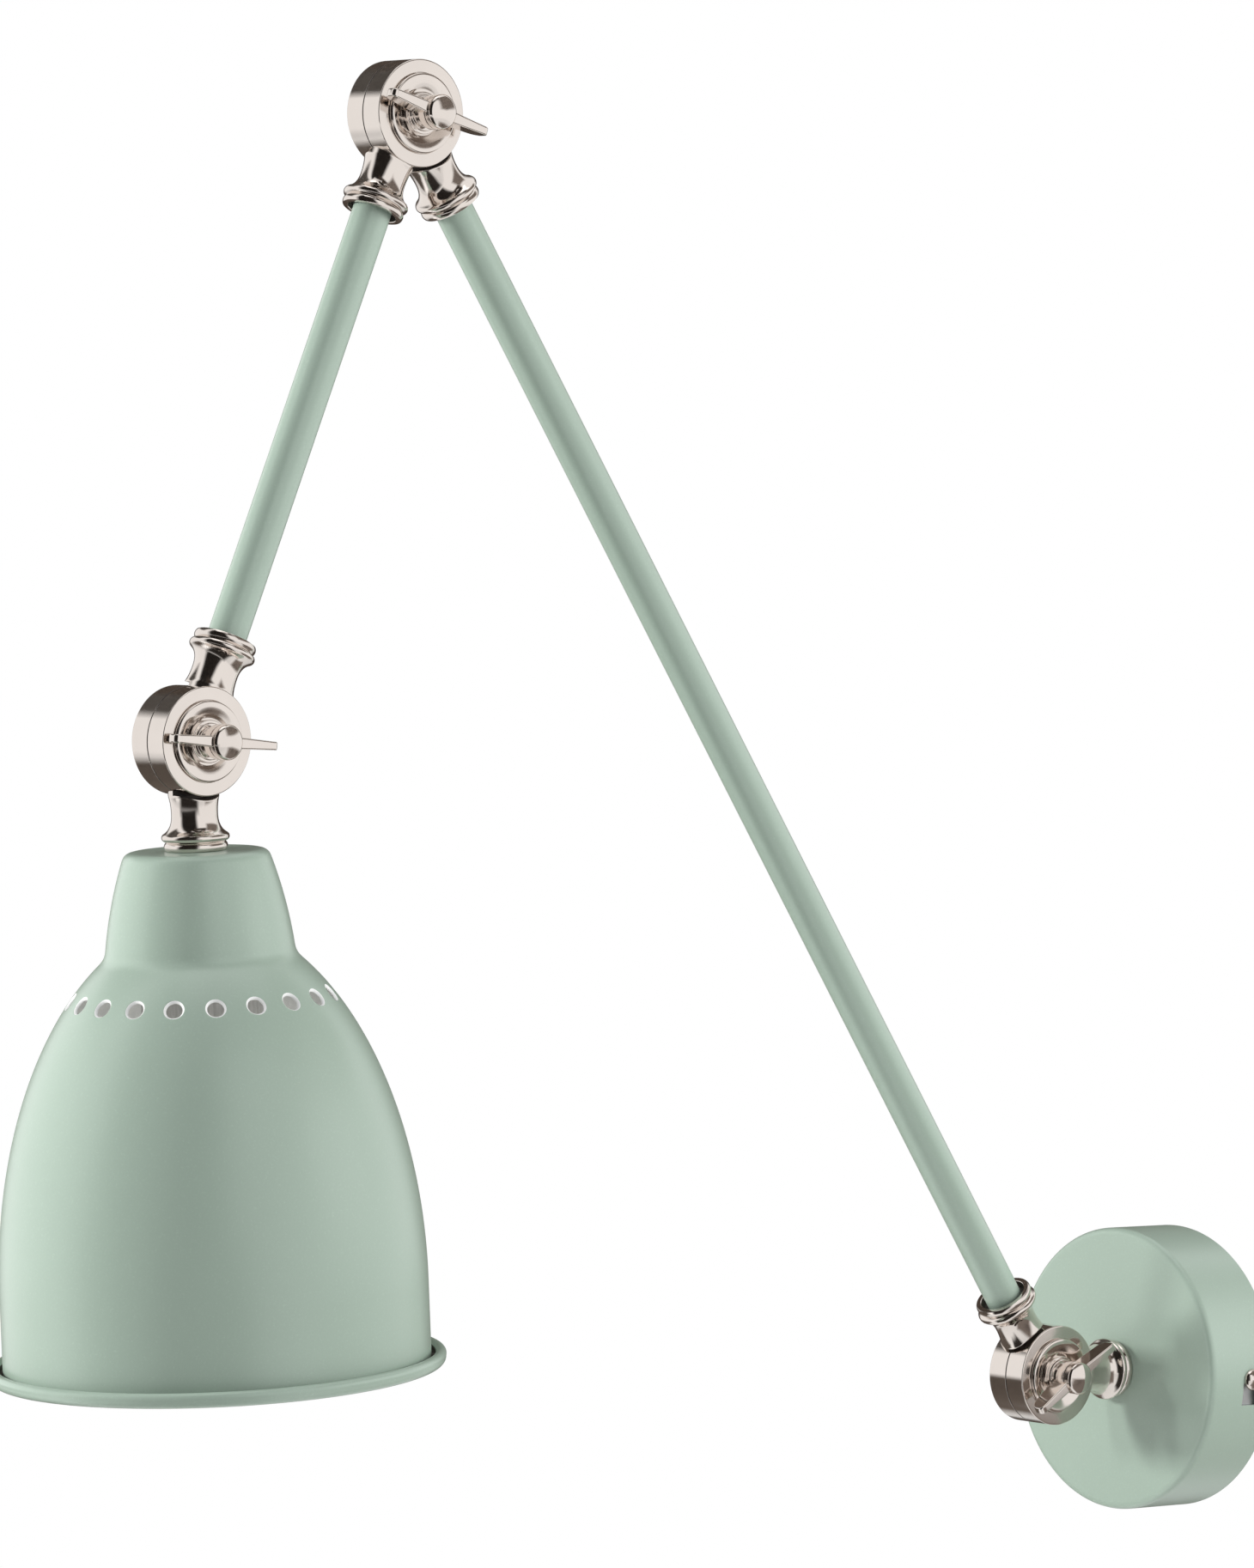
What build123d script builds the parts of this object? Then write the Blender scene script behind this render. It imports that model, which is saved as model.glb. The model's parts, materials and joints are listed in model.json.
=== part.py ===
from build123d import *
import os
from math import cos, sin, sqrt, radians

# Articulating wall lamp: a round canopy on the wall, a long and a short arm, and a bell shade.
# Three clamped knuckle joints let it fold. Each knuckle is two hollow discs on a wing screw.
# Millimetres. Origin: centre of the canopy's back on the wall. -Y leads into the room, +Z up.
# All three pivots lie along X, and the wing screws stand on the +X side.

os.makedirs("parts", exist_ok=True)

# ---------------------------------------------------------------- driving sizes
# Canopy (the cup on the wall)
canopy_radius = 50.0
canopy_depth = 29.5
canopy_wall = 1.2
canopy_edge_radius = 2.5

# Wall bracket inside the canopy
bracket_thickness = 1.5
bracket_width = 16.0
bracket_hole_spacing = 64.0
wall_slot_length = 14.0
wall_slot_radius = 2.25
cable_hole_radius = 5.0
ear_above = 6.0
ear_below = 11.0
ear_reach = 16.0
ear_clearance = 0.3
tab_width = 26.0
tab_length = 24.0

# Side screws that hold the canopy, and the keyholes they sit in
side_screw_radius = 2.0
side_screw_setback = 10.0
side_head_radius = 3.75
side_head_height = 3.0
side_head_edge = 0.75
driver_slot_width = 0.9
driver_slot_depth = 1.0
keyhole_clearance = 0.25
screw_past_ear = 2.5

# Terminal block, earth screw
pole_count = 3
pole_pitch = 8.0
block_height = 11.0
block_length = 17.0
pole_screw_radius = 1.7
block_base_height = 6.6
tower_radius = 3.5
pole_screw_spacing = 9.0
pole_screw_top = 9.4
pole_screw_slot = 0.6
wire_entry_radius = 1.5
wire_entry_height = 3.3
fixing_screw_radius = 1.3
fixing_head_radius = 2.5
fixing_head_height = 1.2
earth_screw_radius = 2.0
earth_screw_offset = 15.0
earth_washer_radius = 4.4
earth_washer_thickness = 1.0
earth_head_radius = 3.6
earth_head_height = 2.2
earth_recess_length = 6.0
earth_recess_width = 0.8

# Knuckle discs
disc_radius = 17.5
disc_thickness = 8.25
seam_gap = 0.3
disc_chamfer = 0.4
plate_thickness = 2.3
chamber_radius = 13.9
boss_radius = 7.0
boss_setback = 0.5

# Necks of the knuckles, measured from the pivot
neck_length = 35.0
neck_root_radius = 8.2
neck_sunk_in_disc = 2.9
waist_radius = 7.45
waist_distance = 23.4
bead_radius = 10.9
bead_to_end = 4.3
bead_half_width = 1.2
bead_crown = 0.7
end_ring_radius = 10.25
end_ring_width = 2.5
end_ring_crown = 0.4
saddle_gap = 1.2
wire_way_radius = 2.4

# Arms
tube_radius = 6.35
tube_wall = 1.0
lower_arm_length = 520.0
upper_arm_length = 219.0
socket_depth = 10.0
mouth_radius = 8.1
mouth_depth = 2.6

# Wing screw and its washers
screw_radius = 3.0
shank_chamfer = 0.4
washer_radius = 13.05
washer_seat_depth = 0.5
washer_proud = 1.5
washer_edge_radius = 0.7
washer_rim_width = 0.84
washer_dish_radius = 8.2
washer_dish_drop = 0.52
washer_dish_step = 0.5
washer_floor = 0.3
flange_radius = 6.9
flange_height = 1.1
step_radius = 5.9
step_height = 1.0
stem_radius = 4.6
hub_radius = 5.65
hub_start = 4.6
hub_chamfer = 0.6
hub_groove_at = 8.2
hub_groove_width = 0.5
hub_groove_depth = 0.7
hub_end = 11.2
dome_height = 1.9
wing_span_radius = 20.5
wing_root_start = 2.9
wing_root_end = 10.3
wing_tip_start = 4.6
wing_tip_end = 11.0
wing_tip_rounding = 2.0
wing_back_rounding = 4.0
wing_root_thickness = 3.7
wing_tip_thickness = 2.6
wing_edge_rounding = 0.5

# Hollow threaded tubes with their lock nuts and washers
nipple_radius = 5.0
nipple_bore_radius = 3.6
nipple_engagement = 9.0
nut_flats = 14.0
nut_height = 3.0
lock_washer_radius = 9.0
lock_washer_thickness = 0.8
canopy_nipple_tail = 4.0
shade_nipple_tail = 7.5

# Shade
shade_wall = 1.0
crown_top_radius = 22.9
crown_mid_radius = 27.9
crown_base_radius = 30.5
crown_mid_drop = 17.5
crown_corner_radius = 3.4
shoulder_fillet = 4.0
bell_radius = 68.5
bell_height = 118.6
bell_springing = 140.0
rim_drop = 167.4
rim_radius = 73.2
hem_width = 3.3
hem_height = 4.8
hem_groove_depth = 2.4
hem_groove_crown = 0.5
hem_turn_out = 1.0
hem_turn_up = 0.6
vent_count = 20
vent_radius = 2.9
vent_drill_length = 6.0
vent_drop = 45.5
vent_phase = 13.1

# Lampholder for a 27 mm screw lamp
holder_radius = 19.5
holder_wall = 1.8
cap_gap = 0.4
cap_collar_radius = 8.0
cap_collar_height = 5.0
cap_dome_radius = 16.0
cap_dome_rise = 3.9
cap_dome_height = 10.5
cap_height = 19.0
skirt_length = 33.0
mouth_bead = 0.8
mouth_bead_height = 3.0
mouth_bead_edge = 0.6
mouth_clearance = 1.0
insulator_thickness = 6.0
holder_wire_offset = 12.1
shell_bore_radius = 13.3
shell_wall = 0.4
shell_length = 24.0
shell_lip = 0.7
shell_foot_radius = 12.3
shell_foot_depth = 5.0
shell_floor_hole_radius = 5.0
contact_width = 5.0
contact_half_length = 3.5
contact_foot_bend = 1.4
contact_top_bend = 0.7
contact_rise = 4.0
contact_thickness = 0.6

# Rest pose: a lean is measured from straight up, towards the room, and a wing turn from level
lower_lean = 35.4
upper_lean = 158.6
shade_lean = 184.8
base_wing_turn = 32.0
elbow_wing_turn = -15.0
shade_wing_turn = -3.0

# Fits
shaft_fit = 0.08
seat_fit = 0.05
thread_fit = 0.05
bore_clearance = 0.2

# ---------------------------------------------------------------- worked-out places
mating_face = seam_gap / 2
outer_face = mating_face + disc_thickness
boss_face = mating_face + boss_setback
chamber_floor = outer_face - plate_thickness
chamber_middle = (mating_face + chamber_floor) / 2
bead_distance = neck_length - bead_to_end
pivot_out = canopy_depth + neck_length


def lean_direction(lean):
    """Unit vector of an arm that leans out from upright by an angle."""
    return Vector(0, -sin(radians(lean)), cos(radians(lean)))


base_pivot = Vector(0, -pivot_out, 0)
elbow_pivot = base_pivot + lean_direction(lower_lean) * lower_arm_length
shade_pivot = elbow_pivot + lean_direction(upper_lean) * upper_arm_length

wall_side = Location(tuple(base_pivot), (-90, 0, 0))
lower_arm = Location(tuple(base_pivot), (lower_lean, 0, 0))
upper_arm = Location(tuple(elbow_pivot), (upper_lean, 0, 0))
shade_head = Location(tuple(shade_pivot), (shade_lean, 0, 0))


# ---------------------------------------------------------------- turning helpers
def edge_face(edges):
    """Face inside a closed run of edges."""
    return make_face(Curve() + edges)


def turned_about_pivot(points):
    """Solid of revolution about X from (place along X, radius) points."""
    return revolve(make_face(Polyline(points, close=True)), Axis.X, 360)


def turned_about_neck(points):
    """Solid of revolution about Z from (radius, height) points."""
    outline = [(radius, 0, height) for radius, height in points]
    return revolve(make_face(Polyline(outline, close=True)), Axis.Z, 360)


def rod(radius, low, high):
    """Round bar on the Z axis between two heights."""
    return Pos(0, 0, low) * Cylinder(radius, high - low, align=(Align.CENTER, Align.CENTER, Align.MIN))


def pivot_rod(radius, low, high):
    """Round bar on the X axis between two places."""
    return Rot(0, 90, 0) * rod(radius, low, high)


def forward_rod(radius, low, high):
    """Round bar that leads into the room from one distance off the wall to another."""
    return Rot(90, 0, 0) * rod(radius, low, high)


def domed_end(place, radius, height):
    """Arc of a spherical cap on the X axis, from its rim to its top."""
    sphere_radius = (radius**2 + height**2) / (2 * height)
    centre = place + height - sphere_radius
    half_radius = radius / 2
    half_way = (centre + sqrt(sphere_radius**2 - half_radius**2), half_radius)
    return ThreePointArc((place, radius), half_way, (place + height, 0))


# ---------------------------------------------------------------- knuckles
def knuckle_disc(is_front):
    """One hollow disc on the +X side, open towards its mate, with a boss for the wing screw."""
    bore = screw_radius + shaft_fit
    outline = [
        (mating_face, disc_radius),
        (outer_face - disc_chamfer, disc_radius),
        (outer_face, disc_radius - disc_chamfer),
    ]
    if is_front:
        seat_floor = outer_face - washer_seat_depth
        outline += [
            (outer_face, washer_radius + seat_fit),
            (seat_floor, washer_radius + seat_fit),
            (seat_floor, bore),
        ]
    else:
        outline += [(outer_face, bore)]
    outline += [
        (boss_face, bore),
        (boss_face, boss_radius),
        (chamber_floor, boss_radius),
        (chamber_floor, chamber_radius),
        (mating_face, chamber_radius),
    ]
    return turned_about_pivot(outline)


def neck_body():
    """Flared neck on Z: a hollow waist, a bead and an end ring."""
    root = disc_radius - neck_sunk_in_disc
    bead_low = (bead_radius - bead_crown, 0, bead_distance - bead_half_width)
    bead_high = (bead_radius - bead_crown, 0, bead_distance + bead_half_width)
    ring_low = (end_ring_radius - end_ring_crown, 0, neck_length - end_ring_width)
    ring_middle = (end_ring_radius, 0, neck_length - end_ring_width / 2)
    ring_high = (end_ring_radius - end_ring_crown, 0, neck_length)
    shoulder = (neck_root_radius, 0, disc_radius)
    waist = (waist_radius, 0, waist_distance)
    edges = [
        Line((0, 0, root), (neck_root_radius, 0, root)),
        Line((neck_root_radius, 0, root), shoulder),
        Spline(shoulder, waist, bead_low, tangents=[(-0.15, 0, 1), (0.85, 0, 0.53)]),
        ThreePointArc(bead_low, (bead_radius, 0, bead_distance), bead_high),
        Line(bead_high, ring_low),
        ThreePointArc(ring_low, ring_middle, ring_high),
        Line(ring_high, (0, 0, neck_length)),
        Line((0, 0, neck_length), (0, 0, root)),
    ]
    return revolve(edge_face(edges), Axis.Z, 360)


def knuckle(is_front, holds_tube):
    """Half joint: disc, neck, saddle under the mate's disc, wire way and end socket."""
    mate_side = pivot_rod(disc_radius + saddle_gap, -outer_face - saddle_gap, mating_face)
    beyond_face = pivot_rod(disc_radius + saddle_gap, outer_face, outer_face + disc_thickness)
    neck = neck_body() - mate_side - beyond_face
    socket_floor = neck_length - socket_depth
    wire_way = Pos(chamber_middle, 0, 0) * rod(wire_way_radius, boss_radius + 1, socket_floor)
    half = knuckle_disc(is_front) + neck - wire_way
    if holds_tube:
        half -= rod(tube_radius + seat_fit, socket_floor, neck_length)
        half -= rod(mouth_radius, neck_length - mouth_depth, neck_length)
    else:
        half -= rod(nipple_radius + thread_fit, neck_length - nipple_engagement - 1, neck_length)
    if is_front:
        return half
    return mirror(half, Plane.YZ)


def arm_tube(pivot_distance):
    """Tube between the two sockets of an arm."""
    low = neck_length - socket_depth
    high = pivot_distance - low
    return rod(tube_radius, low, high) - rod(tube_radius - tube_wall, low, high)


# ---------------------------------------------------------------- wing screw and washers
def pressure_washer():
    """Dished washer let into the front disc, with a rounded rim that stands proud."""
    seat = outer_face - washer_seat_depth
    top = outer_face + washer_proud
    floor = outer_face + washer_floor
    outline = [
        (seat, screw_radius + bore_clearance),
        (seat, washer_radius),
        (top, washer_radius),
        (top, washer_radius - washer_rim_width),
        (top - washer_dish_drop, washer_dish_radius),
        (floor, washer_dish_radius - washer_dish_step),
        (floor, screw_radius + bore_clearance),
    ]
    washer = turned_about_pivot(outline)
    rim = washer.edges().filter_by(GeomType.CIRCLE).group_by(SortBy.RADIUS)[-1].sort_by(Axis.X)[-1]
    return fillet(rim, washer_edge_radius)


def friction_washer():
    """Plain washer clamped between the two bosses."""
    bore = screw_radius + bore_clearance
    return pivot_rod(boss_radius, -boss_face, boss_face) - pivot_rod(bore, -boss_face, boss_face)


def wing():
    """One tapered wing that stands up along +Z from the screw's hub, with a rounded tip."""
    root = hub_radius / 2
    corners = [
        (outer_face + wing_root_start, root),
        (outer_face + wing_root_end, root),
        (outer_face + wing_root_end, hub_radius),
        (outer_face + wing_tip_end, wing_span_radius),
        (outer_face + wing_tip_start, wing_span_radius),
        (outer_face + wing_root_start, hub_radius),
    ]
    side = make_face(Polyline(corners, close=True))
    side = fillet(side.vertices().group_by(Axis.Y)[-1].sort_by(Axis.X)[-1], wing_tip_rounding)
    back = side.vertices().group_by(Axis.Y)[-1].sort_by(Axis.X)[0]
    side = Plane.XZ * fillet(back, wing_back_rounding)
    blade = extrude(side, amount=wing_root_thickness, both=True)
    plan = Polyline(
        (0, -wing_root_thickness / 2, root),
        (0, wing_root_thickness / 2, root),
        (0, wing_tip_thickness / 2, wing_span_radius),
        (0, -wing_tip_thickness / 2, wing_span_radius),
        close=True,
    )
    wedge = extrude(make_face(plan), amount=outer_face + wing_tip_end + 1, dir=(1, 0, 0))
    blade = blade & wedge
    long_edges = blade.edges().filter_by(lambda edge: edge.center().Z > hub_radius)
    return fillet(long_edges, wing_edge_rounding)


def wing_screw(turn):
    """Shank, stepped stem, grooved hub with a domed end, and two wings."""
    shank_end = -outer_face
    floor = outer_face + washer_floor
    flange_top = floor + flange_height
    step_top = flange_top + step_height
    start = outer_face + hub_start
    groove = outer_face + hub_groove_at
    groove_floor = hub_radius - hub_groove_depth
    end = outer_face + hub_end
    corners = [
        (shank_end, 0),
        (shank_end, screw_radius - shank_chamfer),
        (shank_end + shank_chamfer, screw_radius),
        (floor, screw_radius),
        (floor, flange_radius),
        (flange_top, flange_radius),
        (flange_top, step_radius),
        (step_top, step_radius),
        (step_top, stem_radius),
        (start, stem_radius),
        (start + hub_chamfer, hub_radius),
        (groove, hub_radius),
        (groove, groove_floor),
        (groove + hub_groove_width, groove_floor),
        (groove + hub_groove_width, hub_radius),
        (end, hub_radius),
    ]
    hub = [
        Polyline(corners),
        domed_end(end, hub_radius, dome_height),
        Line((end + dome_height, 0), (shank_end, 0)),
    ]
    body = revolve(edge_face(hub), Axis.X, 360)
    first_wing = wing()
    body = body + first_wing + Rot(180, 0, 0) * first_wing
    return Rot(turn - 90, 0, 0) * body


# ---------------------------------------------------------------- threaded tube, nut, washer
def nipple(sheet, tail):
    """Hollow threaded tube from the neck through a sheet, a washer and a nut."""
    low = neck_length - nipple_engagement
    high = neck_length + sheet + lock_washer_thickness + nut_height + tail
    return rod(nipple_radius, low, high) - rod(nipple_bore_radius, low, high)


def lock_washer(sheet):
    """Flat washer on the inside of the sheet."""
    low = neck_length + sheet
    high = low + lock_washer_thickness
    return rod(lock_washer_radius, low, high) - rod(nipple_radius + bore_clearance, low, high)


def lock_nut(sheet):
    """Thin hexagon nut that clamps the sheet to the neck."""
    low = neck_length + sheet + lock_washer_thickness
    corner_radius = nut_flats / sqrt(3)
    hexagon = extrude(RegularPolygon(corner_radius, 6), amount=nut_height)
    return Pos(0, 0, low) * hexagon - rod(nipple_radius + thread_fit, low, low + nut_height)


# ---------------------------------------------------------------- canopy and bracket
def canopy():
    """Shallow spun cup against the wall, with a centre hole and a keyhole on each side."""
    cup = rod(canopy_radius, 0, canopy_depth)
    cup = fillet(cup.edges().sort_by(Axis.Z)[-1], canopy_edge_radius)
    hollow = rod(canopy_radius - canopy_wall, 0, canopy_depth - canopy_wall)
    inner_edge_radius = canopy_edge_radius - canopy_wall
    if inner_edge_radius > 0.1:
        hollow = fillet(hollow.edges().sort_by(Axis.Z)[-1], inner_edge_radius)
    cup = cup - hollow - rod(nipple_radius + bore_clearance, 0, canopy_depth)
    cup = Rot(90, 0, 0) * cup
    slot_radius = side_screw_radius + keyhole_clearance
    door = 2 * (side_head_radius + keyhole_clearance)
    slot = pivot_rod(slot_radius, -canopy_radius, canopy_radius)
    slot += Pos(0, 0, -slot_radius) * Box(2 * canopy_radius, 2 * slot_radius, 2 * slot_radius)
    slot += Pos(0, 0, -slot_radius / 2 - door / 2) * Box(2 * canopy_radius, door, door)
    return cup - Pos(0, -side_screw_setback, 0) * slot


ear_corner = max(ear_above, ear_below)
ear_face = sqrt((canopy_radius - canopy_wall) ** 2 - ear_corner**2) - ear_clearance


def wall_bracket():
    """Steel crossbar with two bent ears, wall-screw slots, a cable hole and a terminal tab."""
    upright = (Align.CENTER, Align.MAX, Align.CENTER)
    bar = Box(2 * ear_face, bracket_thickness, bracket_width, align=upright)
    tab = Box(tab_width, bracket_thickness, bracket_width + tab_length, align=upright)
    bracket = bar + Pos(0, 0, -tab_length / 2) * tab
    ear = Box(bracket_thickness, ear_reach, ear_above + ear_below, align=upright)
    ear_middle = (ear_above - ear_below) / 2
    slot = extrude(SlotOverall(wall_slot_length, 2 * wall_slot_radius), bracket_thickness, both=True)
    for side in (-1, 1):
        bracket += Pos(side * (ear_face - bracket_thickness / 2), 0, ear_middle) * ear
        bracket -= Pos(side * bracket_hole_spacing / 2, 0, 0) * Rot(90, 0, 0) * slot
    bracket -= forward_rod(cable_hole_radius, 0, bracket_thickness)
    earth_hole = forward_rod(earth_screw_radius + thread_fit, 0, bracket_thickness)
    bracket -= Pos(earth_screw_offset, 0, 0) * earth_hole
    fixing_hole = forward_rod(fixing_screw_radius + thread_fit, 0, bracket_thickness)
    for place in fixing_places():
        bracket -= Pos(place, 0, block_middle) * fixing_hole
    side_hole = pivot_rod(side_screw_radius + thread_fit, -ear_face, ear_face)
    return bracket - Pos(0, -side_screw_setback, 0) * side_hole


def side_screws():
    """Two round-headed screws, one on each side, that carry the canopy."""
    seat = canopy_radius
    edge = seat + side_head_edge
    top = seat + side_head_height
    shank_end = ear_face - bracket_thickness - screw_past_ear
    corners = [
        (shank_end, 0),
        (shank_end, side_screw_radius),
        (seat, side_screw_radius),
        (seat, side_head_radius),
        (edge, side_head_radius),
    ]
    head = [
        Polyline(corners),
        domed_end(edge, side_head_radius, top - edge),
        Line((top, 0), (shank_end, 0)),
    ]
    screw = revolve(edge_face(head), Axis.X, 360)
    slot = Box(2 * driver_slot_depth, driver_slot_width, 2 * side_head_radius)
    screw -= Pos(top, 0, 0) * slot
    right = Pos(0, -side_screw_setback, 0) * screw
    return Compound(children=[right, mirror(right, Plane.YZ)])


# ---------------------------------------------------------------- terminal block
block_width = pole_count * pole_pitch
block_middle = -bracket_width / 2 - tab_length / 2


def pole_places():
    """Places along X of the poles."""
    return [(index - (pole_count - 1) / 2) * pole_pitch for index in range(pole_count)]


def fixing_places():
    """Places along X of the holes between poles."""
    return [place + pole_pitch / 2 for place in pole_places()[:-1]]


def pole_screw_centres():
    """Places of the pole screws, two for each pole, beside the block's middle."""
    reach = pole_screw_spacing / 2
    return [Pos(place, 0, end * reach) for place in pole_places() for end in (-1, 1)]


def terminal_block():
    """Three-pole connector strip with screw towers and wire entries from above and below."""
    front = bracket_thickness + block_height
    upright = (Align.CENTER, Align.MAX, Align.CENTER)
    base = Box(block_width, block_base_height, block_length, align=upright)
    block = Pos(0, -bracket_thickness, 0) * base
    tower = forward_rod(tower_radius, bracket_thickness, front)
    well_floor = bracket_thickness + wire_entry_height
    well = forward_rod(pole_screw_radius + seat_fit, well_floor, front)
    entry = Pos(0, -well_floor, 0) * rod(wire_entry_radius, -block_length / 2, block_length / 2)
    fixing_hole = forward_rod(fixing_screw_radius + bore_clearance, bracket_thickness, front)
    for centre in pole_screw_centres():
        block += centre * tower
    for centre in pole_screw_centres():
        block -= centre * well
    for place in pole_places():
        block -= Pos(place, 0, 0) * entry
    for place in fixing_places():
        block -= Pos(place, 0, 0) * fixing_hole
    return Pos(0, 0, block_middle) * block


def terminal_screws():
    """Clamping screws sunk in the towers, just above the wire entries."""
    low = bracket_thickness + wire_entry_height + wire_entry_radius
    high = bracket_thickness + pole_screw_top
    slot = Box(2 * pole_screw_radius, 2 * pole_screw_slot, pole_screw_slot)
    screw = forward_rod(pole_screw_radius, low, high) - Pos(0, -high, 0) * slot
    screw = Pos(0, 0, block_middle) * screw
    return Compound(children=[centre * screw for centre in pole_screw_centres()])


def fixing_screws():
    """Two small screws that hold the block to its tab."""
    seat = bracket_thickness + block_base_height
    screw = forward_rod(fixing_screw_radius, 0, seat)
    screw += forward_rod(fixing_head_radius, seat, seat + fixing_head_height)
    return Compound(children=[Pos(place, 0, block_middle) * screw for place in fixing_places()])


def earth_screw():
    """Earth screw with its washer, on the crossbar beside the cable hole."""
    washer_top = bracket_thickness + earth_washer_thickness
    head_top = washer_top + earth_head_height
    screw = forward_rod(earth_screw_radius, 0, washer_top)
    screw += forward_rod(earth_washer_radius, bracket_thickness, washer_top)
    screw += forward_rod(earth_head_radius, washer_top, head_top)
    arm = Box(earth_recess_length, 2 * earth_recess_width, earth_recess_width)
    screw -= Pos(0, -head_top, 0) * (arm + Rot(0, 90, 0) * arm)
    return Pos(earth_screw_offset, 0, 0) * screw


# ---------------------------------------------------------------- shade
shade_top = neck_length


def bell_radius_at(drop, inset):
    """Radius of the bell's quarter ellipse at a drop below the shade's top."""
    share = (bell_springing - drop) / (bell_height - inset)
    return (bell_radius - inset) * sqrt(1 - share**2)


def bell_drop_at(radius, inset):
    """Drop below the shade's top where the bell's ellipse has a radius."""
    share = radius / (bell_radius - inset)
    return bell_springing - (bell_height - inset) * sqrt(1 - share**2)


def shade_outline(inset):
    """Filled half section of the shade's skin, down to where the hem starts."""
    top = inset
    base_radius = crown_base_radius - inset
    base_drop = bell_drop_at(base_radius, inset)
    springing = (bell_radius - inset, bell_springing)
    upper_drop = base_drop + 0.14 * (bell_springing - base_drop)
    upper = (bell_radius_at(upper_drop, inset), upper_drop)
    middle_drop = base_drop + 0.45 * (bell_springing - base_drop)
    middle = (bell_radius_at(middle_drop, inset), middle_drop)
    upper_slope = ellipse_tangent(base_radius, base_drop, inset)
    edges = [
        Line((0, top), (crown_top_radius - inset, top)),
        ThreePointArc(
            (crown_top_radius - inset, top),
            (crown_mid_radius - inset, crown_mid_drop),
            (base_radius, base_drop),
        ),
        Spline((base_radius, base_drop), upper, middle, springing, tangents=[upper_slope, (0, 1)]),
        Line(springing, (bell_radius - inset, rim_drop)),
        Line((bell_radius - inset, rim_drop), (0, rim_drop)),
        Line((0, rim_drop), (0, top)),
    ]
    section = make_face(Curve() + edges)
    corner = section.vertices().sort_by_distance((crown_top_radius - inset, top))[0]
    section = fillet(corner, crown_corner_radius - inset)
    waist = section.vertices().sort_by_distance((base_radius, base_drop))[0]
    return fillet(waist, shoulder_fillet + inset)


def ellipse_tangent(radius, drop, inset):
    """Direction of the bell's ellipse at one of its points, going down."""
    across = (bell_springing - drop) / (bell_height - inset) ** 2
    down = radius / (bell_radius - inset) ** 2
    return (across, down)


def hem():
    """Half section of the rolled hem: a bead beside the wall, with a groove between."""
    wall_out = bell_radius
    wall_in = bell_radius - shade_wall
    bead_middle = rim_radius - hem_width / 2
    bead_in = rim_radius - hem_width
    low = rim_drop
    high = rim_drop - hem_height
    groove_floor = low - hem_groove_depth
    groove_top = ((wall_out + bead_in) / 2, groove_floor + hem_groove_crown)
    outer_turn = (bead_middle + hem_turn_out, low - hem_turn_up)
    inner_turn = (wall_out - 0.7 * shade_wall, low - 0.3 * shade_wall)
    edges = [
        Line((wall_in, high), (wall_out, high)),
        Line((wall_out, high), (wall_out, groove_floor)),
        ThreePointArc((wall_out, groove_floor), groove_top, (bead_in, groove_floor)),
        ThreePointArc((bead_in, groove_floor), (bead_middle, high), (rim_radius, groove_floor)),
        ThreePointArc((rim_radius, groove_floor), outer_turn, (bead_middle, low)),
        Line((bead_middle, low), (wall_out, low)),
        ThreePointArc((wall_out, low), inner_turn, (wall_in, low - shade_wall)),
        Line((wall_in, low - shade_wall), (wall_in, high)),
    ]
    return make_face(Curve() + edges)


def shade():
    """Spun bell: a crown, a shoulder with a ring of vents, the bell and its rolled hem."""
    skin = shade_outline(0) - shade_outline(shade_wall)
    skin = skin - Pos(0, rim_drop) * Rectangle(4 * bell_radius, 2 * hem_height)
    bell = revolve(Plane.XZ * (skin + hem()), Axis.Z, 360)
    bell = bell - rod(nipple_radius + bore_clearance, 0, 2 * shade_wall)
    vent_place = Vector(bell_radius_at(vent_drop, 0), 0, vent_drop)
    across, down = ellipse_tangent(vent_place.X, vent_drop, 0)
    outward = Vector(down, 0, -across).normalized()
    drill = Plane(origin=vent_place, z_dir=outward)
    vent = drill * Cylinder(vent_radius, vent_drill_length)
    turns = [vent_phase + index * 360 / vent_count for index in range(vent_count)]
    vents = [Rot(0, 0, turn) * vent for turn in turns]
    return Pos(0, 0, shade_top) * (bell - vents)


# ---------------------------------------------------------------- lampholder
cap_top = neck_length + shade_wall + lock_washer_thickness + nut_height + cap_gap
cap_bottom = cap_top + cap_height
skirt_bottom = cap_bottom + skirt_length
insulator_bottom = cap_bottom + insulator_thickness
shell_radius = shell_bore_radius + shell_wall


def lampholder_cap():
    """Hollow moulded cap with a threaded collar for the hollow tube."""
    shoulder = cap_top + cap_collar_height
    inside = holder_radius - holder_wall
    dome_start = (cap_collar_radius, 0, shoulder)
    dome_middle = (cap_dome_radius, 0, shoulder + cap_dome_rise)
    dome_end = (holder_radius, 0, shoulder + cap_dome_height)
    inner_start = (cap_collar_radius - holder_wall, 0, shoulder + holder_wall)
    inner_middle = (cap_dome_radius - holder_wall, 0, dome_middle[2] + 0.8 * holder_wall)
    inner_end = (inside, 0, dome_end[2] + 0.5 * holder_wall)
    bore = nipple_radius + thread_fit
    edges = [
        Line((bore, 0, cap_top), (cap_collar_radius, 0, cap_top)),
        Line((cap_collar_radius, 0, cap_top), dome_start),
        ThreePointArc(dome_start, dome_middle, dome_end),
        Line(dome_end, (holder_radius, 0, cap_bottom)),
        Line((holder_radius, 0, cap_bottom), (inside, 0, cap_bottom)),
        Line((inside, 0, cap_bottom), inner_end),
        ThreePointArc(inner_end, inner_middle, inner_start),
        Line(inner_start, (bore, 0, inner_start[2])),
        Line((bore, 0, inner_start[2]), (bore, 0, cap_top)),
    ]
    return revolve(edge_face(edges), Axis.Z, 360)


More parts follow.
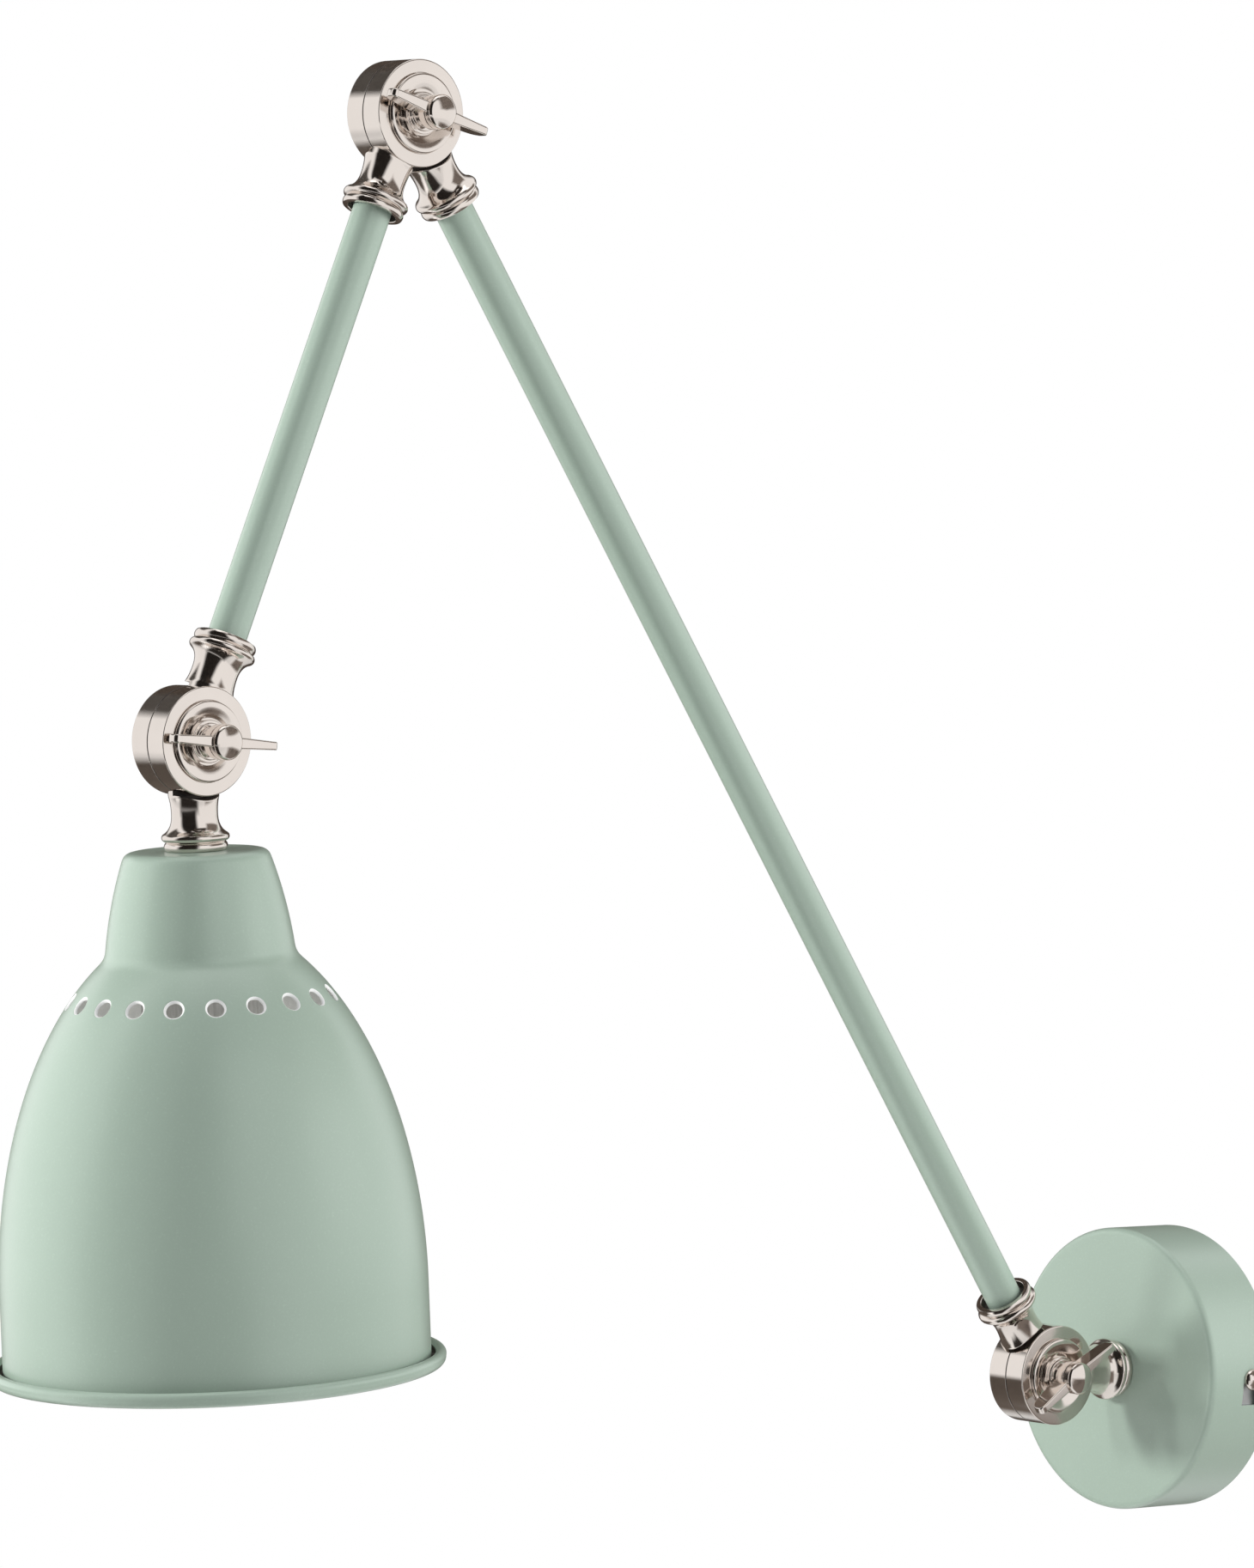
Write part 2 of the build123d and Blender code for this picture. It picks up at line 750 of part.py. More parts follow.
def lampholder_skirt():
    """Sleeve below the cap, with a beaded mouth."""
    inside = holder_radius - holder_wall
    outside = holder_radius + mouth_bead
    opening = shell_radius + mouth_clearance
    bead_start = skirt_bottom - mouth_bead_height
    points = [
        (inside, cap_bottom),
        (holder_radius, cap_bottom),
        (holder_radius, bead_start),
        (outside, bead_start + mouth_bead),
        (outside, skirt_bottom - mouth_bead_edge),
        (outside - mouth_bead_edge, skirt_bottom),
        (opening, skirt_bottom),
        (opening, skirt_bottom - holder_wall),
        (inside, skirt_bottom - holder_wall),
    ]
    return turned_about_neck(points)


def lampholder_insulator():
    """Ceramic disc that carries the shell and the centre contact."""
    disc = rod(holder_radius - holder_wall - seat_fit, cap_bottom, insulator_bottom)
    for side in (-1, 1):
        wire_hole = rod(wire_entry_radius, cap_bottom, insulator_bottom)
        disc -= Pos(0, side * holder_wire_offset, 0) * wire_hole
    return disc


def lamp_shell():
    """Thin screw shell with a narrow foot; its thread is kept as a plain bore."""
    low = insulator_bottom
    high = low + shell_length
    foot = low + shell_foot_depth
    shell = rod(shell_foot_radius + shell_wall, low, foot) + rod(shell_radius, foot - shell_wall, high)
    shell += rod(shell_radius + shell_lip, high - shell_wall, high)
    shell -= rod(shell_foot_radius, low + shell_wall, foot) + rod(shell_bore_radius, foot, high)
    return shell - rod(shell_floor_hole_radius, low, low + shell_wall)


def centre_contact():
    """Bent leaf spring on the insulator that presses on the lamp's foot."""
    low = insulator_bottom
    foot = low + contact_thickness
    top = low + contact_rise
    points = [
        (-contact_half_length, 0, low),
        (contact_half_length, 0, low),
        (contact_half_length, 0, foot),
        (contact_foot_bend, 0, foot),
        (-contact_top_bend, 0, top),
        (-contact_half_length, 0, top),
        (-contact_half_length, 0, top - contact_thickness),
        (-contact_foot_bend, 0, top - contact_thickness),
        (contact_top_bend / 2, 0, foot),
        (-contact_half_length, 0, foot),
    ]
    leaf = make_face(Polyline(points, close=True))
    return extrude(leaf, amount=contact_width / 2, both=True)


# ---------------------------------------------------------------- assembly
far_end_lower = Pos(0, 0, lower_arm_length) * Rot(180, 0, 0)
far_end_upper = Pos(0, 0, upper_arm_length) * Rot(180, 0, 0)
base_joint = Location(tuple(base_pivot))
elbow_joint = Location(tuple(elbow_pivot))
shade_joint = Location(tuple(shade_pivot))

parts = {
    "canopy": canopy(),
    "wall_bracket": wall_bracket(),
    "canopy_side_screws": side_screws(),
    "terminal_block": terminal_block(),
    "terminal_screws": terminal_screws(),
    "terminal_fixing_screws": fixing_screws(),
    "earth_screw": earth_screw(),
    "wall_knuckle": wall_side * knuckle(True, False),
    "canopy_nipple": wall_side * nipple(canopy_wall, canopy_nipple_tail),
    "canopy_lock_washer": wall_side * lock_washer(canopy_wall),
    "canopy_lock_nut": wall_side * lock_nut(canopy_wall),
    "base_pressure_washer": wall_side * pressure_washer(),
    "lower_arm_base_knuckle": lower_arm * knuckle(False, True),
    "lower_arm_tube": lower_arm * arm_tube(lower_arm_length),
    "lower_arm_elbow_knuckle": lower_arm * far_end_lower * knuckle(False, True),
    "base_friction_washer": lower_arm * friction_washer(),
    "elbow_friction_washer": lower_arm * far_end_lower * friction_washer(),
    "upper_arm_elbow_knuckle": upper_arm * knuckle(True, True),
    "upper_arm_tube": upper_arm * arm_tube(upper_arm_length),
    "upper_arm_shade_knuckle": upper_arm * far_end_upper * knuckle(True, True),
    "elbow_pressure_washer": upper_arm * pressure_washer(),
    "shade_pressure_washer": upper_arm * far_end_upper * pressure_washer(),
    "shade_knuckle": shade_head * knuckle(False, False),
    "shade_friction_washer": shade_head * friction_washer(),
    "shade_nipple": shade_head * nipple(shade_wall, shade_nipple_tail),
    "shade_lock_washer": shade_head * lock_washer(shade_wall),
    "shade_lock_nut": shade_head * lock_nut(shade_wall),
    "shade": shade_head * shade(),
    "lampholder_cap": shade_head * lampholder_cap(),
    "lampholder_skirt": shade_head * lampholder_skirt(),
    "lampholder_insulator": shade_head * lampholder_insulator(),
    "lamp_shell": shade_head * lamp_shell(),
    "centre_contact": shade_head * centre_contact(),
    "base_wing_screw": base_joint * wing_screw(base_wing_turn),
    "elbow_wing_screw": elbow_joint * wing_screw(elbow_wing_turn),
    "shade_wing_screw": shade_joint * wing_screw(shade_wing_turn),
}

for name, solid in parts.items():
    export_step(solid, f"parts/{name}.step")

print("base pivot", base_pivot)
print("elbow pivot", elbow_pivot)
print("shade pivot", shade_pivot)
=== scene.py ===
import json
from math import atan2, cos, pi, radians, sin, sqrt

import bmesh
import bpy
from mathutils import Matrix, Vector


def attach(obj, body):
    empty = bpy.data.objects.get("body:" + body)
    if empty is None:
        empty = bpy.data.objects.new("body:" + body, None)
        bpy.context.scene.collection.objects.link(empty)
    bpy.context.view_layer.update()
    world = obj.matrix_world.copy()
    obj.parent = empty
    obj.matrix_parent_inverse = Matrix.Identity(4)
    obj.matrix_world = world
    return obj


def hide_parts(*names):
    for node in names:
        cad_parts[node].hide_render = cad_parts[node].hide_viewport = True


bl_info = {
    "name": "Articulating Wall Lamp",
    "version": (1, 0, 0),
    "blender": (4, 5, 0),
    "location": "View3D > Sidebar > Wall Lamp",
    "description": "Builds the canopy, arms, clamped knuckles, wing screws and bell shade of a wall lamp",
    "category": "Add Mesh",
}

MM = 0.001
WELD = 0.0008 * MM
SLIVER = 0.0002 * MM
WIRE_BORE = 5.05 * MM
NIPPLE_HOLE = 5.2 * MM
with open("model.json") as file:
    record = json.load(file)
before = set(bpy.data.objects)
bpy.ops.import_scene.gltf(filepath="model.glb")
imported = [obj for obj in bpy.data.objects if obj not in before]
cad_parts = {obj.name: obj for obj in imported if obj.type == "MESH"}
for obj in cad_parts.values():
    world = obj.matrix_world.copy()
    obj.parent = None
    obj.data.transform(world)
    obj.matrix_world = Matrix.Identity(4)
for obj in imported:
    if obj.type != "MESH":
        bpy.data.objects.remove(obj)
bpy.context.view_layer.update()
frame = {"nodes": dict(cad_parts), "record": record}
joints = {joint["name"]: joint for joint in frame["record"]["behaviour"]["joints"]}
mounts = {mount["name"]: mount for mount in frame["record"]["mounts"]}


# ---------------------------------------------------------------- places taken from the frame
def pivot_of(joint):
    """Centre of a joint at rest."""
    return Vector(joints[joint]["pos_m"])


def looking_along(start, direction):
    """Frame at a point with +Z along a direction and +X along the pivots."""
    z_axis = direction.normalized()
    x_axis = Vector((1, 0, 0))
    y_axis = z_axis.cross(x_axis)
    turn = Matrix((x_axis, y_axis, z_axis)).transposed()
    return Matrix.Translation(start) @ turn.to_4x4()


BASE, ELBOW, TILT = pivot_of("base_pivot"), pivot_of("elbow_pivot"), pivot_of("shade_tilt")
SHADE_AXIS = Vector(mounts["lamp_socket"]["axis"])
PLACES = {
    "wall": looking_along(BASE, Vector((0, 1, 0))),
    "lower_low": looking_along(BASE, ELBOW - BASE),
    "lower_high": looking_along(ELBOW, BASE - ELBOW),
    "upper_high": looking_along(ELBOW, TILT - ELBOW),
    "upper_low": looking_along(TILT, ELBOW - TILT),
    "shade": looking_along(TILT, SHADE_AXIS),
}


# ---------------------------------------------------------------- outlines
def vectors(*corners):
    """Corners as vectors."""
    return [Vector(corner) for corner in corners]


def polar(radius, turn, height):
    """Point at a radius, a turn about the Z axis and a height."""
    return Vector((radius * cos(turn), radius * sin(turn), height))


def bend(start, corner, end, steps):
    """Points of a soft bend that leaves start towards corner and arrives at end."""
    start, corner, end = vectors(start, corner, end)
    points = []
    for step in range(steps + 1):
        t = step / steps
        points.append(start * (1 - t) ** 2 + corner * 2 * t * (1 - t) + end * t**2)
    return points


def rounded(corners, steps=4):
    """Closed outline through (radius, height, rounding) corners."""
    outline = []
    for index, (radius, height, rounding) in enumerate(corners):
        corner = Vector((radius, height))
        if rounding <= 0:
            outline.append(corner)
            continue
        before = Vector(corners[index - 1][:2]) - corner
        after = Vector(corners[(index + 1) % len(corners)][:2]) - corner
        start = corner + before.normalized() * rounding
        end = corner + after.normalized() * rounding
        outline += bend(start, corner, end, steps)
    return outline


def soften(path, corner_index, reach, steps=6):
    """Rounds one corner of a dense path over a reach along both of its sides."""
    low = corner_index
    while low > 0 and (path[low] - path[corner_index]).length < reach:
        low -= 1
    high = corner_index
    while high < len(path) - 1 and (path[high] - path[corner_index]).length < reach:
        high += 1
    return path[:low] + bend(path[low], path[corner_index], path[high], steps) + path[high + 1 :]


def arc(start, middle, end, steps):
    """Points of the circle through three points, from start to end."""
    start, middle, end = vectors(start, middle, end)
    ax, ay = middle - start
    bx, by = end - start
    across = 2 * (ax * by - ay * bx)
    a_squared, b_squared = ax * ax + ay * ay, bx * bx + by * by
    centre = start + Vector((by * a_squared - ay * b_squared, ax * b_squared - bx * a_squared)) / across
    first = atan2(*(start - centre).yx)
    last = atan2(*(end - centre).yx)
    via = atan2(*(middle - centre).yx)
    sweep = (last - first) % (2 * pi)
    if (via - first) % (2 * pi) > sweep:
        sweep -= 2 * pi
    radius = (start - centre).length
    angles = [first + sweep * step / steps for step in range(steps + 1)]
    return [centre + radius * Vector((cos(angle), sin(angle))) for angle in angles]


def sweep_curve(start, leaving, end, arriving, steps):
    """Points of a smooth curve with a given direction at both ends."""
    start, leaving, end, arriving = vectors(start, leaving, end, arriving)
    points = []
    for step in range(steps + 1):
        t = step / steps
        points.append(
            start * (1 + 2 * t) * (1 - t) ** 2
            + leaving * t * (1 - t) ** 2
            + end * t * t * (3 - 2 * t)
            + arriving * t * t * (t - 1)
        )
    return points


# ---------------------------------------------------------------- shapes
class Shape:
    """Collects the points and faces of one piece, mirrored across X if asked."""

    def __init__(self, mirrored=False):
        self.points = []
        self.faces = []
        self.finishes = []
        self.mirrored = mirrored

    def grid(self, rows, finish=0, around=False, close_rows=False):
        """Skins rows of points; around joins each row's ends, close_rows the last row to the first."""
        starts = []
        for row in rows:
            starts.append(len(self.points))
            self.points += [Vector((-p.x, p.y, p.z)) if self.mirrored else p for p in row]
        count = len(rows)
        for index in range(count if close_rows else count - 1):
            low, high = starts[index], starts[(index + 1) % count]
            length = len(rows[index])
            for step in range(length if around else length - 1):
                following = (step + 1) % length
                self.faces.append([low + step, low + following, high + following, high + step])
                self.finishes.append(finish)

    def spin(self, outline, segments, axis="Z", finish=0, closed=True):
        """Turns an outline of (radius, height) points about the Z or the X axis."""
        rows = []
        for radius, height in vectors(*outline):
            row = []
            for segment in range(segments):
                angle = 2 * pi * segment / segments
                across, up = radius * cos(angle), radius * sin(angle)
                spot = (across, up, height) if axis == "Z" else (height, across, up)
                row.append(Vector(spot))
            rows.append(row)
        self.grid(rows, finish, around=True, close_rows=closed)

    def cap(self, row, finish=0):
        """Closes a loop of points with a fan to its middle."""
        middle = sum(row, Vector()) / len(row)
        first = len(self.points)
        self.points += [middle] + list(row)
        count = len(row)
        for step in range(count):
            self.faces.append([first, first + 1 + step, first + 1 + (step + 1) % count])
            self.finishes.append(finish)

    def build(self, name, place, finishes, body, nodes, sharp=35):
        """Makes the object, which stands for its nodes and rides on its body."""
        mesh = bpy.data.meshes.new(name)
        mesh.from_pydata([tuple(point) for point in self.points], [], self.faces)
        for finish in finishes:
            mesh.materials.append(finish)
        mesh.polygons.foreach_set("material_index", self.finishes)
        work = bmesh.new()
        work.from_mesh(mesh)
        bmesh.ops.remove_doubles(work, verts=work.verts, dist=WELD)
        bmesh.ops.dissolve_degenerate(work, edges=work.edges, dist=SLIVER)
        bmesh.ops.recalc_face_normals(work, faces=work.faces)
        bmesh.ops.transform(work, matrix=place, verts=work.verts)
        work.to_mesh(mesh)
        work.free()
        mesh.shade_smooth()
        mesh.set_sharp_from_angle(angle=radians(sharp))
        piece = bpy.data.objects.new(name, mesh)
        bpy.context.scene.collection.objects.link(piece)
        even_normals(piece)
        finish_piece(piece, body, nodes)
        return piece


def finish_piece(piece, body, nodes):
    """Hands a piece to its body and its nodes."""
    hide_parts(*nodes)
    bpy.context.view_layer.update()
    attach(piece, body)


def even_normals(piece):
    """Lets the larger faces of a piece lead its shading."""
    even = piece.modifiers.new("even_normals", "WEIGHTED_NORMAL")
    even.keep_sharp = True


def carve(piece, cutters):
    """Cuts solids out of a piece and keeps its smooth look."""
    for cutter in cutters:
        cut = piece.modifiers.new("cut", "BOOLEAN")
        cut.operation = "DIFFERENCE"
        cut.object = cutter
        cut.solver = "EXACT"
    graph = bpy.context.evaluated_depsgraph_get()
    carved = bpy.data.meshes.new_from_object(piece.evaluated_get(graph))
    piece.modifiers.clear()
    spare = piece.data
    piece.data = carved
    bpy.data.meshes.remove(spare)
    for cutter in cutters:
        solid = cutter.data
        bpy.data.objects.remove(cutter)
        bpy.data.meshes.remove(solid)
    even_normals(piece)


def cutter_from(shape, name, place):
    """Throw-away solid that carve uses."""
    mesh = bpy.data.meshes.new(name)
    mesh.from_pydata([tuple(point) for point in shape.points], [], shape.faces)
    work = bmesh.new()
    work.from_mesh(mesh)
    bmesh.ops.remove_doubles(work, verts=work.verts, dist=WELD)
    bmesh.ops.recalc_face_normals(work, faces=work.faces)
    work.to_mesh(mesh)
    work.free()
    cutter = bpy.data.objects.new(name, mesh)
    bpy.context.scene.collection.objects.link(cutter)
    cutter.matrix_world = place
    return cutter


# ---------------------------------------------------------------- finishes
class Wire:
    """A node's output that takes part in Python arithmetic."""

    def __init__(self, board, socket):
        self.board = board
        self.socket = socket

    def _with(self, operation, first, second):
        return self.board.node("ShaderNodeMath", {"operation": operation}, {0: first, 1: second})

    def __add__(self, other):
        return self._with("ADD", self, other)

    def __radd__(self, other):
        return self._with("ADD", other, self)

    def __sub__(self, other):
        return self._with("SUBTRACT", self, other)

    def __rsub__(self, other):
        return self._with("SUBTRACT", other, self)

    def __mul__(self, other):
        return self._with("MULTIPLY", self, other)

    def __rmul__(self, other):
        return self._with("MULTIPLY", other, self)

    def __pow__(self, other):
        return self._with("POWER", self, other)


class Board:
    """The node tree of one finish, or of the studio's air."""

    def __init__(self, owner):
        self.owner = owner
        owner.use_nodes = True
        self.tree = owner.node_tree
        self.tree.nodes.clear()

    def node(self, kind, settings=None, sockets=None, output=0):
        """Adds a node with its settings first, then the values or links of its sockets."""
        made = self.tree.nodes.new(kind)
        for key, value in (settings or {}).items():
            setattr(made, key, value)
        for key, value in (sockets or {}).items():
            socket = made.inputs[key]
            if isinstance(value, Wire):
                self.tree.links.new(value.socket, socket)
            else:
                socket.default_value = value
        return Wire(self, made.outputs[output]) if made.outputs else None

    def place(self):
        """Coordinates of the piece itself, in metres."""
        return self.node("ShaderNodeTexCoord", output="Object")

    def noise(self, scale, detail=2.0, roughness=0.5, place=None):
        """Soft noise from 0 to 1 with features of about 1 / scale metres."""
        spot = place or self.place()
        sockets = {"Vector": spot, "Scale": scale, "Detail": detail, "Roughness": roughness}
        return self.node("ShaderNodeTexNoise", {}, sockets, "Fac")

    def blend(self, factor, first, second):
        """Mix of two colours."""
        return self.node(
            "ShaderNodeMix",
            {"data_type": "RGBA", "clamp_factor": True},
            {"Factor": factor, 6: first, 7: second},
            2,
        )

    def bump(self, height, strength, distance):
        """Bumped normal from a height."""
        sockets = {"Height": height, "Strength": strength, "Distance": distance}
        return self.node("ShaderNodeBump", {}, sockets)

    def finish(self, sockets):
        """Ends the tree in one Principled shader and gives the material."""
        shader = self.node("ShaderNodeBsdfPrincipled", {}, sockets)
        self.node("ShaderNodeOutputMaterial", {}, {"Surface": shader})
        return self.owner


def new_finish(name, slot):
    """Board of a new finish that fills a slot, and the coordinates on it."""
    board = Board(bpy.data.materials.new(name))
    board.owner["slot"] = slot
    return board, board.place()


def tinted(colour, factor):
    """A colour made lighter or darker."""
    return tuple(min(1.0, part * factor) for part in colour[:3]) + (1.0,)


def powder_coat(name, slot, colour, gloss):
    """Baked powder coat: fine orange peel, tiny pale and dark specks, and soft drifts of tone."""
    board, spot = new_finish(name, slot)
    drift = board.noise(14, 3, place=spot)
    speck = board.noise(1500, 1, place=spot)
    peel = board.noise(620, 2, 0.6, place=spot)
    toned = board.blend(drift, tinted(colour, 0.96), tinted(colour, 1.04))
    specked = board.blend(speck**6 * 1.6, toned, tinted(colour, 1.25))
    return board.finish(
        {
            "Base Color": specked,
            "Roughness": 0.60 - gloss * 0.3 + drift * 0.05 + peel * 0.06,
            "Normal": board.bump(peel + speck * 0.3, 0.22, 0.00006),
            "IOR": 1.5,
            "Coat Weight": 0.6,
            "Coat Roughness": 0.25,
        }
    )


def nickel(name, slot, colour):
    """Polished nickel plate with a faint haze and hairline marks."""
    board, spot = new_finish(name, slot)
    haze = board.noise(55, 4, 0.55, place=spot)
    hairline = board.noise(2600, 3, 0.65, place=spot)
    cast = board.blend(haze, tinted(colour, 0.93), tinted(colour, 1.06))
    return board.finish(
        {
            "Base Color": cast,
            "Metallic": 1.0,
            "Roughness": 0.05 + haze * 0.06 + hairline * 0.05,
            "Normal": board.bump(hairline, 0.05, 0.00002),
        }
    )


def plated_steel(name, slot, colour):
    """Zinc plate with a faint spangle."""
    board, spot = new_finish(name, slot)
    spangle = board.node("ShaderNodeTexVoronoi", {}, {"Vector": spot, "Scale": 260.0}, "Distance")
    cloud = board.noise(90, 4, place=spot)
    return board.finish(
        {
            "Base Color": board.blend(spangle * 1.4, tinted(colour, 0.86), tinted(colour, 1.05)),
            "Metallic": 1.0,
            "Roughness": 0.24 + spangle * 0.14 + cloud * 0.12,
            "Normal": board.bump(cloud, 0.1, 0.00005),
        }
    )


def brass(name, slot, colour):
    """Drawn brass with slight tarnish."""
    board, spot = new_finish(name, slot)
    tarnish = board.noise(120, 5, 0.6, place=spot)
    marks = board.noise(1100, 2, place=spot)
    return board.finish(
        {
            "Base Color": board.blend(tarnish, tinted(colour, 0.72), tinted(colour, 1.08)),
            "Metallic": 1.0,
            "Roughness": 0.2 + tarnish * 0.16,
            "Normal": board.bump(marks, 0.08, 0.00003),
        }
    )


def moulding(name, slot, colour, roughness, grain):
    """Moulded or pressed material with a fine surface grain."""
    board, spot = new_finish(name, slot)
    cloud = board.noise(70, 3, place=spot)
    skin = board.noise(grain, 2, 0.6, place=spot)
    return board.finish(
        {
            "Base Color": board.blend(cloud, tinted(colour, 0.93), tinted(colour, 1.05)),
            "Roughness": roughness + cloud * 0.06 + skin * 0.05,
            "Normal": board.bump(skin, 0.12, 0.00004),
        }
    )


FINISHES = {}


# ---------------------------------------------------------------- settings
def length(name, description, value):
    """A length setting whose default is given in millimetres."""
    return bpy.props.FloatProperty(
        name=name, description=description, default=value * MM, unit="LENGTH", precision=5
    )


def colour(name, description, value):
    """A colour setting."""
    return bpy.props.FloatVectorProperty(
        name=name, description=description, default=value, size=3, subtype="COLOR", min=0, max=1
    )


def angle(name, description, value):
    """An angle setting whose default is given in degrees."""
    return bpy.props.FloatProperty(
        name=name, description=description, default=radians(value), unit="ROTATION"
    )


class FinishSettings(bpy.types.PropertyGroup):
    """Colours of the lamp's finishes."""

    enamel: colour("Enamel", "Powder coat of the shade, the arms and the canopy", (0.360, 0.454, 0.376))
    lining: colour("Lining", "Powder coat inside the shade", (0.82, 0.82, 0.79))
    # Lining round each vent's edge, painted lighter than the lining as a painted highlight.
    vent_edge: colour("Vent edge", "Lining that wraps round the edge of each vent", (0.94, 0.94, 0.92))
    nickel: colour("Nickel", "Plate of the knuckles, washers and wing screws", (0.78, 0.715, 0.665))
    zinc: colour("Zinc", "Plate of the steel behind the canopy", (0.66, 0.67, 0.68))
    brass: colour("Brass", "Contacts and terminal screws", (0.72, 0.52, 0.25))
    holder: colour("Lampholder", "Moulded cap and skirt", (0.74, 0.73, 0.71))
    ceramic: colour("Ceramic", "Insulator in the lampholder", (0.83, 0.82, 0.78))
    fibre: colour("Fibre", "Friction washers", (0.16, 0.11, 0.08))
    # Near-black painted shade for the knuckles' seams, saddles and sockets and for the shade's hem
    # groove; the metal there is also dull.
    seam: colour("Seam", "Unpolished metal in the knuckles' seams and sockets", (0.085, 0.07, 0.06))


class KnuckleSettings(bpy.types.PropertyGroup):
    """Sizes of the clamped knuckles."""

    disc_radius: length("Disc radius", "Radius of each knuckle disc", 17.5)
    disc_thickness: length("Disc thickness", "Thickness of one disc", 8.25)
    seam: length("Seam", "Gap between the two discs", 0.3)
    edge: length("Edge", "Rounding of the disc's edges", 0.45)
    saddle: length("Saddle gap", "Gap between a disc and its mate's neck", 1.2)
    root_radius: length("Neck root", "Neck radius under the disc", 8.2)
    waist_radius: length("Waist", "Smallest neck radius", 7.45)
    waist_distance: length("Waist distance", "Distance of the waist from the pivot", 23.4)
    bead_radius: length("Bead", "Radius of the neck's bead", 10.9)
    bead_distance: length("Bead distance", "Distance of the bead from the pivot", 30.7)
    ring_radius: length("End ring", "Radius of the ring at the neck's end", 10.25)
    neck_length: length("Neck length", "Distance of the neck's end from the pivot", 35.0)
    end_wall: length("Neck end", "Depth of the neck's solid end", 10.0)
    mouth_radius: length("Mouth", "Radius of the recess round the tube", 8.1)
    mouth_depth: length("Mouth depth", "Depth of that recess", 2.6)
    washer_radius: length("Washer", "Radius of the dished pressure washer", 13.05)
    washer_proud: length("Washer proud", "How far the washer stands above the disc", 1.5)
    screw_radius: length("Screw", "Radius of the wing screw's shank", 3.0)
    hub_radius: length("Hub", "Radius of the wing screw's hub", 5.65)
    wing_reach: length("Wing reach", "Distance of the wing tips from the screw's axis", 20.5)
    base_turn: angle("Base wings", "Turn of the wings at the base knuckle", 32)
    elbow_turn: angle("Elbow wings", "Turn of the wings at the elbow", -15)
    shade_turn: angle("Shade wings", "Turn of the wings at the shade", -3)


class ShadeSettings(bpy.types.PropertyGroup):
    """Sizes of the bell shade. A drop is measured down from the shade's top."""

    wall: length("Wall", "Sheet thickness", 1.0)
    top_radius: length("Crown top", "Crown radius at the top", 22.9)
    mid_radius: length("Crown middle", "Crown radius half way down", 27.9)
    base_radius: length("Crown base", "Crown radius at the shoulder", 30.5)
    mid_drop: length("Crown middle drop", "Drop of the crown's middle", 17.5)
    corner: length("Crown corner", "Rounding of the crown's top edge", 2.4)
    shoulder: length("Shoulder", "Rounding where the crown meets the bell", 2.2)
    bell_radius: length("Bell radius", "Largest radius of the bell", 68.5)
    bell_height: length("Bell height", "Height of the bell's quarter ellipse", 118.6)
    springing: length("Springing", "Drop at which the bell's wall is upright", 140.0)
    rim_drop: length("Rim drop", "Drop of the rim", 167.4)
    rim_radius: length("Rim radius", "Outer radius of the rolled hem", 73.2)
    hem_width: length("Hem width", "Width of the rolled bead", 3.3)
    hem_height: length("Hem height", "Height of the rolled bead", 4.8)
    hem_groove: length("Hem groove", "Depth of the groove behind the bead", 2.4)
    vent_radius: length("Vent radius", "Radius of each vent", 2.9)
    vent_drop: length("Vent drop", "Drop of the ring of vents", 45.5)
    vent_count: bpy.props.IntProperty(name="Vents", description="Number of vents", default=20, min=4)
    vent_phase: angle("Vent phase", "Turn of the first vent", 13.1)


class ArmSettings(bpy.types.PropertyGroup):
    """Sizes of the tube arms."""

    tube_radius: length("Tube radius", "Outer radius of both arms", 6.35)
    tube_wall: length("Tube wall", "Wall thickness of both arms", 1.0)
    socket_depth: length("Socket depth", "How far a tube goes into its neck", 10.0)


class CanopySettings(bpy.types.PropertyGroup):
    """Sizes of the canopy and its side screws."""

    radius: length("Radius", "Outer radius of the canopy", 50.0)
    depth: length("Depth", "Depth from the wall to the front", 29.5)
    wall: length("Wall", "Sheet thickness", 1.2)
    edge: length("Edge", "Rounding of the front edge", 2.5)
    screw_radius: length("Screw radius", "Radius of a side screw's shank", 2.0)
    head_radius: length("Head radius", "Radius of a side screw's head", 3.75)
    head_height: length("Head height", "Height of a side screw's head", 3.0)
    setback: length("Setback", "Distance of the side screws from the wall", 10.0)


class HolderSettings(bpy.types.PropertyGroup):
    """Sizes of the lampholder."""

    radius: length("Radius", "Outer radius of cap and skirt", 19.5)
    wall: length("Wall", "Wall thickness of the mouldings", 1.8)
    bore: length("Bore", "Clear radius of the screw shell", 13.3)
    shell_sheet: length("Shell sheet", "Sheet thickness of the screw shell", 0.4)
    shell_length: length("Shell length", "Length of the screw shell", 24.0)
    foot_radius: length("Foot", "Clear radius of the screw shell's plain foot", 12.3)
    foot_depth: length("Foot depth", "Length of that foot", 5.0)
    pitch: length("Thread pitch", "Pitch of the screw shell's rolled thread", 3.63)
    thread: length("Thread depth", "Depth of the rolled thread", 0.9)


class StageSettings(bpy.types.PropertyGroup):
    """Camera, floor and lamps."""

    floor_drop: length("Floor", "Distance of the floor below the lamp's origin", 620)
    floor_reach: length("Floor reach", "Radius of the round floor", 3300)
    camera_turn: angle("Camera turn", "Direction of the camera round the lamp", 49.65)
    camera_tip: angle("Camera tip", "How far the camera looks down", 1.42)
    camera_roll: angle("Camera roll", "Roll of the camera", 1.55)
    camera_place: bpy.props.FloatVectorProperty(
        name="Camera place",
        description="Where the camera stands",
        default=(1.8361, -1.8236, 0.2667),
        size=3,
        subtype="TRANSLATION",
    )
    camera_lens: bpy.props.FloatProperty(
        name="Lens", description="Focal length", default=165.63, unit="CAMERA"
    )


